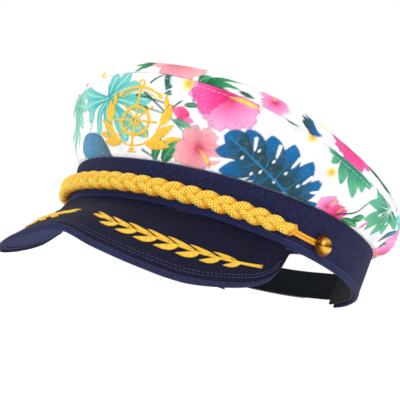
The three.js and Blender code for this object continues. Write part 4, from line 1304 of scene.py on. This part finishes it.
def gold_braid(low, high):
    """Rayon yarn, with painted light: a painted highlight where it stands out, painted shade of deep orange
    down in the gaps, and fine fibres along it.
    """

    def surface(start):
        cloth = start.cloth()
        _, _, height = start.node("ShaderNodeSeparateXYZ", None, {0: cloth}, (0, 1, 2))
        fibre = start.noise(cloth.stretched(0.6, 2.2, 1), 2.2, 2.0)
        # Painted shade and painted highlight: the yarn's height sets its colour, deep orange low in the gaps,
        # yellow higher up and pale yellow on the tops.
        raised = height.between(low, high)
        bright = height.between(high, high + 0.35).mix(dye(253, 174, 8), dye(255, 232, 92))
        return {
            "Base Color": raised.mix(dye(196, 78, 0), bright),
            "Roughness": 0.5 - fibre * 0.15,
            "Normal": start.relief(fibre, 0.00015, 0.6),
        }

    return surface


GOLD_SHEEN = {"Sheen Weight": 0.2, "Sheen Tint": (1, 0.85, 0.4, 1)}
braid = finish("gold_braid", gold_braid(1.05, 1.7), {**GOLD_SHEEN, "Specular IOR Level": 0.4})
strand_angle = np.linspace(-PLAIT_END_ANGLE, PLAIT_END_ANGLE, 760)
for i, name in enumerate(("plait_strand_a", "plait_strand_b", "plait_strand_c")):
    line = strand_line(strand_angle, 2 * math.pi * i / 3)
    # Painted shade: where a strand passes under another, its yarns' tone drops, and the braid's material
    # paints them deeper orange.
    over = np.sin(4 * np.pi * strand_angle * ROUND_PER_DEGREE / PLAIT_PERIOD + 4 * math.pi * i / 3)
    dive_shade = -0.45 * smooth(-over, -0.2, 1.0)[:, None]
    bare = STRAND_RADIUS - STRAND_SLACK - YARN_RADIUS
    yarns = braided(line, strand_angle, bare, YARN_TURN, YARN_RADIUS, YARNS_EACH_WAY, dive_shade)
    # Painted shade: the core's tone is set far down, so it is all painted in the deep orange of the gaps.
    core = spun(line, strand_angle, lambda far: 0 * far, lambda far: 0 * far + 1e-4, 1.15, 8, -9.0)
    piece(name, [core, *yarns], braid, "plaited_cord", "plaited_cord")

cord_skins = []
cord_braid = finish("cord_braid", gold_braid(0.2, 0.65), GOLD_SHEEN)
for side in (-1, 1):
    for spread in (-1, 1):
        angle = side * np.linspace(PLAIT_END_ANGLE - 3, BUTTON_ANGLE - 1.4, 90)
        share = np.clip((np.abs(angle) - PLAIT_END_ANGLE + 3) / 10, 0, 1)
        depth = lerp(PLAIT_DEPTH + STRAND_RADIUS, CORD_RADIUS, share) + PIECE_GAP
        line = ring(angle, depth, plait_lift(angle) + spread * CORD_SPREAD)
        for i in range(4):
            cord_skins.append(spun(
                line, angle, lambda far, i=i: 2 * np.pi * (far / 4.2 + i / 4),
                lambda far: 0 * far + 0.52, 0.42,
            ))
    for k, back in enumerate((0.3, 1.2, 2.1)):
        centre = side * (PLAIT_END_ANGLE - 0.2 + back * 0.55)
        turn = np.linspace(0, 2 * np.pi, 60)
        tall, deep = 3.9 - 0.75 * k, 3.3 - 0.45 * k
        middle = lerp(PLAIT_DEPTH + STRAND_RADIUS, 2.4, k / 2) + PIECE_GAP
        lean = side * 0.5 * np.cos(turn)
        from_band = middle + 0.6 + (deep - 0.8) * np.sin(turn)
        line = ring(centre + lean, from_band, plait_lift(centre) + tall * 0.8 * np.cos(turn))
        cord_skins += [spun(line, centre + 0 * turn, lambda far, i=i: 2 * np.pi * (far / 3.2 + i / 3),
                            lambda far: 0 * far + 0.42, 0.4) for i in range(3)]
piece("plait_cords", cord_skins, cord_braid, "plaited_cord", "plaited_cord")

# Buttons.
# Stamped brass shells, polished and lacquered, with a rolled rim. Each is sewn on through its shank and
# holds the plait's end cords.
BUTTON_RADIUS = 6.3
BUTTON_DOME = 3.8
BUTTON_STANDOFF = 3.2
SHANK_RADIUS = 0.8


def brass(start):
    place = start.node("ShaderNodeTexCoord", None, None, ("Object",))
    haze = start.noise(place, 240.0, 4.0, 0.6)
    from_centre, _, _ = start.node("ShaderNodeSeparateXYZ", None, {0: start.cloth()}, (0, 1, 2))
    # Painted reflection: a dark brown ring round the dome stands in for dark reflections; the centre and the
    # rim stay bright gold.
    gold_with_painted_dark_reflection = from_centre.between(2.9, 5.4).mix(dye(236, 170, 64), dye(112, 66, 18))
    return {
        "Base Color": gold_with_painted_dark_reflection,
        "Roughness": 0.12 + haze * 0.14,
        "Normal": start.relief(haze, 0.00006, 0.4),
    }


polished_brass = finish("polished_brass", brass, {"Metallic": 1.0})
rim_z = BUTTON_STANDOFF
profile = [
    (0, PIECE_GAP), (SHANK_RADIUS, PIECE_GAP), (SHANK_RADIUS, rim_z - 0.35),
    (BUTTON_RADIUS - 1.2, rim_z - 0.35),
]
profile += [(BUTTON_RADIUS - 0.35 + 0.35 * math.cos(turn), rim_z + 0.35 * math.sin(turn))
            for turn in np.radians([-90, -50, -10, 30, 70, 110])]
profile += [(BUTTON_RADIUS * 0.93 * math.sin(turn), rim_z + 0.25 + (BUTTON_DOME - 0.25) * math.cos(turn))
            for turn in np.radians([88, 78, 66, 54, 42, 30, 20, 10, 0])]
for name, side in (("button_left", 1), ("button_right", -1)):
    up = outward(side * BUTTON_ANGLE)
    aside = np.cross(up, (0, 0, 1))
    over_way = np.cross(up, aside)
    turn = np.linspace(0, 2 * np.pi, 56, endpoint=False)[None, :, None]
    reach, tall = (np.array(profile)[:, i][:, None, None] for i in range(2))
    round_way = np.cos(turn) * aside + np.sin(turn) * over_way
    points = ring(side * BUTTON_ANGLE, 0, BUTTON_HEIGHT) + up * tall + reach * round_way
    from_axis = np.concatenate([reach + 0 * turn, tall + 0 * turn, 0 * turn + 0 * reach], -1)
    piece(name, [skin(points, wrap_columns=True, cloth=from_axis)], polished_brass, name, name)

# Emblem.
# Machine embroidery in gold rayon on the crown's front: an anchor behind a ship's wheel, between two laurel
# branches. The threads lie side by side across each stroke, and the leaves are padded.
STITCH_RAISE = 0.9
EMBLEM_HALF_WIDTH = 31
EMBLEM_HALF_HEIGHT = 20
EMBLEM_LIFT = 0.42
WHEEL_ROUND = 1.2
LEAF_SLIMNESS = 0.46
THREAD_PITCH = 0.62
WREATH_LEAVES = (
    ((0.27, -0.61), (0.88, -0.62), 0.33), ((0.68, -0.5), (1.08, -0.32), 0.26), ((0.45, -0.52),
    (0.865, 0.03), 0.34),
    ((0.6, -0.08), (0.74, 0.63), 0.42), ((0.62, 0.45), (0.6, 0.86), 0.42),
)


def satin(line, widths, place, height=STITCH_RAISE, slant=0.5):
    """A ridge of threads along a flat line; place(x, y) gives the points and directions of its surface."""
    line, widths = np.array(line, float), np.array(widths, float)
    far = np.concatenate([[0], np.cumsum(np.hypot(*np.diff(line, axis=0).T))])
    count = max(8, int(far[-1] / (THREAD_PITCH / 4)))
    spots = np.linspace(0, far[-1], count)
    centre = np.stack([np.interp(spots, far, line[:, i]) for i in range(2)], -1)
    half = np.maximum(np.interp(spots, far, widths), 0.12) / 2
    ahead = unit(np.gradient(centre, axis=0))
    aside = np.stack([-ahead[:, 1], ahead[:, 0]], -1)
    across = np.array([-1, -0.86, -0.55, -0.2, 0.2, 0.55, 0.86, 1, 0.5, -0.5])
    rise = np.array([0.02, 0.5, 0.86, 1, 1, 0.86, 0.5, 0.02, 0, 0])
    thread_lean = across[None] * slant * half[:, None] / THREAD_PITCH
    strand = np.sin(2 * np.pi * (spots[:, None] / THREAD_PITCH + thread_lean))
    puff = np.minimum(1, half[:, None] / 0.9) ** 0.5
    flat = centre[:, None] + aside[:, None] * (half[:, None] * across)[..., None]
    points, facing = place(flat[..., 0], flat[..., 1])
    tall = (height * rise * puff) * (1 + 0.13 * strand) + 0.05 * (rise > 0)
    points = points + facing * tall[..., None]
    cloth = np.stack([spots[:, None] + 0 * tall, across * half[:, None], strand * (rise > 0.1)], -1)
    return skin(capped(points), wrap_columns=True, cloth=capped(cloth))


def leaf_outline(x, y, turn, length, slim=LEAF_SLIMNESS, bow=0.0):
    """Centre line and widths of a padded leaf from its foot at (x, y)."""
    t = np.linspace(0, 1, 15)
    run = np.array([math.cos(turn), math.sin(turn)])
    side = np.array([-run[1], run[0]])
    line = np.array([x, y]) + run * (t * length)[:, None] + side * (bow * length * np.sin(np.pi * t))[:, None]
    return line, length * slim * np.sin(np.pi * t**0.8) + 0.1


def arc_line(start, pull, end, count=24):
    t = np.linspace(0, 1, count)[:, None]
    start, pull, end = (np.array(point, float) for point in (start, pull, end))
    return (1 - t) ** 2 * start + 2 * t * (1 - t) * pull + t * t * end


def on_front(x, y):
    angle = x / (math.radians(1) * (HEAD_HALF_WIDTH + SIDE_BULGE))
    up = EMBLEM_LIFT + y / 50.2
    face = face_of(side_point, angle, up, 0.02)
    shift = np.sin(math.pi * np.clip(up, 0, 1)) * waves(angle, up * 150.6, 11, 2.4)
    return side_point(angle, up) + face * shift[..., None], face


def gold_thread(start):
    """Rayon embroidery thread: bright along its run, with painted shade between neighbours."""
    cloth = start.cloth()
    _, _, strand = start.node("ShaderNodeSeparateXYZ", None, {0: cloth}, (0, 1, 2))
    tone = start.noise(cloth.stretched(0.5, 0.18, 1), 1.3, 3.0)
    bright = tone.between(0.35, 0.6).mix(dye(252, 176, 10), dye(255, 226, 64))
    # Painted shade: the troughs between neighbouring threads are coloured deep orange.
    return {
        "Base Color": strand.between(-1.1, -0.1).mix(dye(226, 136, 0), bright),
        "Roughness": 0.46 - tone * 0.12,
        "Normal": start.relief(start.noise(cloth.stretched(2, 0.4, 1), 3.0, 2.0), 0.00008, 0.6),
    }


THREAD_SHEEN = {"Sheen Weight": 0.15, "Sheen Tint": (1, 0.9, 0.5, 1), "Specular IOR Level": 0.5}
embroidery = finish("gold_embroidery", gold_thread, THREAD_SHEEN)
high, broad = EMBLEM_HALF_HEIGHT, EMBLEM_HALF_WIDTH
wheel = 0.45 * high
round_turn = np.linspace(0, 2 * np.pi, 60)


def ring_line(x, y, across, tall):
    return np.stack([x + across * np.cos(round_turn), y + tall * np.sin(round_turn)], -1)


foot, stock_reach, stock_lift = -0.86 * high, 0.46 * broad, 0.78 * high
stock = arc_line((-stock_reach, stock_lift), (0, 2 * high - stock_lift), (stock_reach, stock_lift))
emblem = [
    satin(ring_line(0, 1.12 * high, 1.9, 1.9), np.full(60, 1.1), on_front, 0.7),
    satin([(0, high), (0, foot)], [1.5, 1.6], on_front, 0.6),
    satin(stock, 0.9 + 0.8 * np.sin(np.linspace(0, np.pi, 24)), on_front, 0.7),
    satin(stock * (0.86, 1) - (0, 2.2), np.full(24, 0.7), on_front, 0.4),
    satin([(-3.6, foot - 0.6), (3.6, foot - 0.6)], [0.9, 0.9], on_front, 0.5),
    satin([(-2.6, foot + 0.5), (0, foot + 1.6), (2.6, foot + 0.5)], [0.7, 1.6, 0.7], on_front, 0.6),
    satin(ring_line(0, 0, wheel * WHEEL_ROUND - 0.8, wheel - 0.8), np.full(60, 1.9), on_front),
    satin(ring_line(0, 0, 2.6, 2.2), np.full(60, 1.2), on_front, 0.95),
]
for side in (-1, 1):
    tip = np.array((side * stock_reach, stock_lift))
    fluke = [tip + (side * 1.6, -1.4), tip, tip + (-side * 2.4, 1.8)]
    emblem.append(satin(fluke, [0.5, 3.4, 0.6], on_front, 0.8))
for i in range(8):
    turn = math.pi * i / 4
    tip = np.array([math.cos(turn) * WHEEL_ROUND, math.sin(turn)]) * wheel
    emblem.append(satin([tip * 0.27, tip * 1.12, tip * 1.42], [1.2, 1.1, 1.5], on_front, 0.7))
for side in (-1, 1):
    branch = arc_line((0, -0.71 * high), (side * 0.62 * broad, -0.72 * high),
        (side * 0.62 * broad, 0.5 * high), 60)
    emblem.append(satin(branch, np.full(60, 1.0), on_front, 0.5))
    for first, last, slim in WREATH_LEAVES:
        first, last = (np.array([side * x * broad, y * high]) for x, y in (first, last))
        ahead = last - first
        shape = leaf_outline(*first, math.atan2(ahead[1], ahead[0]), np.hypot(*ahead), slim)
        emblem.append(satin(*shape, on_front))
piece("emblem", emblem, embroidery, "emblem", "emblem")

# Laurel sprays.
# Two sprays of the same gold embroidery on the visor, their tips towards the front. The long leaves lie close
# to the stem on the band's side and stand off more on the other, and each stem ends in loose threads.
LAUREL_LENGTH = 105
LAUREL_START = 0.045
LAUREL_LINE = 0.58
LAUREL_LEAF = 12.5
LAUREL_PAIRS = 7
half_around = np.linspace(0, 1, 161)
half_run = visor_surface(half_around, LAUREL_LINE)
half_run = np.concatenate([[0], np.cumsum(np.linalg.norm(np.diff(half_run, axis=0), axis=1))])


def on_visor(side):
    def place(x, y):
        around = side * np.interp(LAUREL_START * half_run[-1] + np.abs(x), half_run, half_around)
        out = LAUREL_LINE - y / visor_width(around)
        return visor_surface(around, out), visor_face(around, out)

    return place


pitch = (LAUREL_LENGTH - 2.1 * LAUREL_LEAF) / (LAUREL_PAIRS - 0.5)
for name, side in (("laurel_left", 1), ("laurel_right", -1)):
    stem_line = [(3, 0), (LAUREL_LENGTH * 0.7, 0), (LAUREL_LENGTH - 2, -1.2)]
    spray = [satin(stem_line, [0.9, 1.7, 2.6], on_visor(side), 0.75)]
    for i in range(LAUREL_PAIRS):
        size = LAUREL_LEAF * (0.76 + 0.24 * math.sin(math.pi * (i + 0.5) / LAUREL_PAIRS))
        x = LAUREL_LEAF + i * pitch
        spray.append(satin(*leaf_outline(x, 0.2, math.pi - 0.3, size * 1.25, 0.2, -0.03), on_visor(side)))
        long_leaf = leaf_outline(x + 3, 0.8, math.pi - 0.25, size * 1.4, 0.085, -0.03)
        spray.append(satin(*long_leaf, on_visor(side), 0.6))
        broad_leaf = leaf_outline(x + pitch / 2, -0.2, math.pi + 0.5, size * 1.05, 0.4, 0.08)
        spray.append(satin(*broad_leaf, on_visor(side)))
    tip_leaf = leaf_outline(LAUREL_LEAF * 0.75, 0, math.pi, LAUREL_LEAF * 0.75, 0.3)
    spray.append(satin(*tip_leaf, on_visor(side)))
    for k in (-0.9, -0.4, 0.3, 0.8):
        end = LAUREL_LENGTH + 0.8 - abs(k)
        spray.append(satin([(LAUREL_LENGTH - 5, -1.1),
            (end, 1.6 * k - 1.3)], [1.2, 0.4], on_visor(side), 0.5))
    piece(name, spray, embroidery, name, name)

# Floor and light.
# The hat stands on a pale seamless floor in an evenly lit white room, with large soft lights to its left,
# its right and above.
floor_mesh = bpy.data.meshes.new("floor")
corners = [(-6, -6, 0), (6, -6, 0), (6, 6, 0), (-6, 6, 0)]
floor_mesh.from_pydata(corners, [], [(0, 1, 2, 3)])
floor = bpy.data.objects.new("floor", floor_mesh)
bpy.context.scene.collection.objects.link(floor)


def matt_floor(start):
    place = start.node("ShaderNodeTexCoord", None, None, ("Object",))
    cloud = start.noise(place, 3.0, 2.0)
    return {"Base Color": cloud.mix(dye(246, 246, 247), dye(252, 252, 252))}


# The floor glows a little: painted light that keeps it white and lightens the hat's shadow on it.
PAPER_GLOW = {
    "Roughness": 0.9, "Specular IOR Level": 0.1, "Emission Color": (1, 1, 1, 1),
    "Emission Strength": 0.45,
}
floor_mesh.materials.append(finish("pale_floor", matt_floor, PAPER_GLOW))

world = bpy.data.worlds.new("white_room")
bpy.context.scene.world = world
world.use_nodes = True
sky = Thread(world.node_tree)
seen, glossy = sky.node("ShaderNodeLightPath", None, None, ("Is Camera Ray", "Is Glossy Ray"))
looking = sky.node("ShaderNodeTexCoord", None, None, ("Generated",))
_, _, sky_height = sky.node("ShaderNodeSeparateXYZ", None, {0: looking}, (0, 1, 2))
room = sky_height.between(-0.35, 0.75).mix((0.28, 0.28, 0.30), (0.78, 0.78, 0.79))
mirrored_room = sky_height.between(0.1, 0.55).mix((0.05, 0.05, 0.05), (0.95, 0.95, 0.95))
background = world.node_tree.nodes["Background"]
sky_colour = seen.mix(glossy.mix(room, mirrored_room), (1, 1, 1))
world.node_tree.links.new(sky_colour.socket, background.inputs["Color"])
background.inputs["Strength"].default_value = 1.0


def soft_light(name, place, aim, size, power):
    light = bpy.data.lights.new(name, "AREA")
    light.shape, light.size, light.energy = "SQUARE", size, power
    made = bpy.data.objects.new(name, light)
    made.location = place
    made.rotation_euler = (Vector(aim) - Vector(place)).to_track_quat("-Z", "Y").to_euler()
    bpy.context.scene.collection.objects.link(made)


soft_light("key_light", (-0.5, -1.1, 0.95), (0, 0, 0.06), 0.9, 5.1)
soft_light("side_light", (1.2, -0.3, 0.6), (0, 0, 0.06), 0.8, 2.5)
soft_light("top_light", (0.1, 0.2, 1.3), (0, 0, 0.06), 0.9, 2.4)

# Camera.
# It stands just above the floor to the hat's front left, looks up a little, and is rolled as the photo is.
CAMERA_PLACE = (0.4965, -0.6272, 0.0015)
CAMERA_AZIMUTH = math.radians(38.60)
CAMERA_PITCH = math.radians(3.66)
CAMERA_ROLL = math.radians(-9.51)
FOCAL_PIXELS = 1287.5
PICTURE_PIXELS = 400
camera_data = bpy.data.cameras.new("camera")
camera_data.sensor_width = 36
camera_data.lens = FOCAL_PIXELS / PICTURE_PIXELS * 36
camera_data.clip_start = 0.005
camera = bpy.data.objects.new("camera", camera_data)
ahead = Vector((
    -math.sin(CAMERA_AZIMUTH) * math.cos(CAMERA_PITCH),
    math.cos(CAMERA_AZIMUTH) * math.cos(CAMERA_PITCH),
    math.sin(CAMERA_PITCH),
))
level = Vector((math.cos(CAMERA_AZIMUTH), math.sin(CAMERA_AZIMUTH), 0))
down = ahead.cross(level)
right = level * math.cos(CAMERA_ROLL) + down * math.sin(CAMERA_ROLL)
down = down * math.cos(CAMERA_ROLL) - level * math.sin(CAMERA_ROLL)
turned = Matrix((right, -down, -ahead)).transposed().to_4x4()
turned.translation = CAMERA_PLACE
camera.matrix_world = turned
bpy.context.scene.collection.objects.link(camera)
bpy.context.scene.camera = camera
bpy.context.scene.view_settings.view_transform = "Standard"
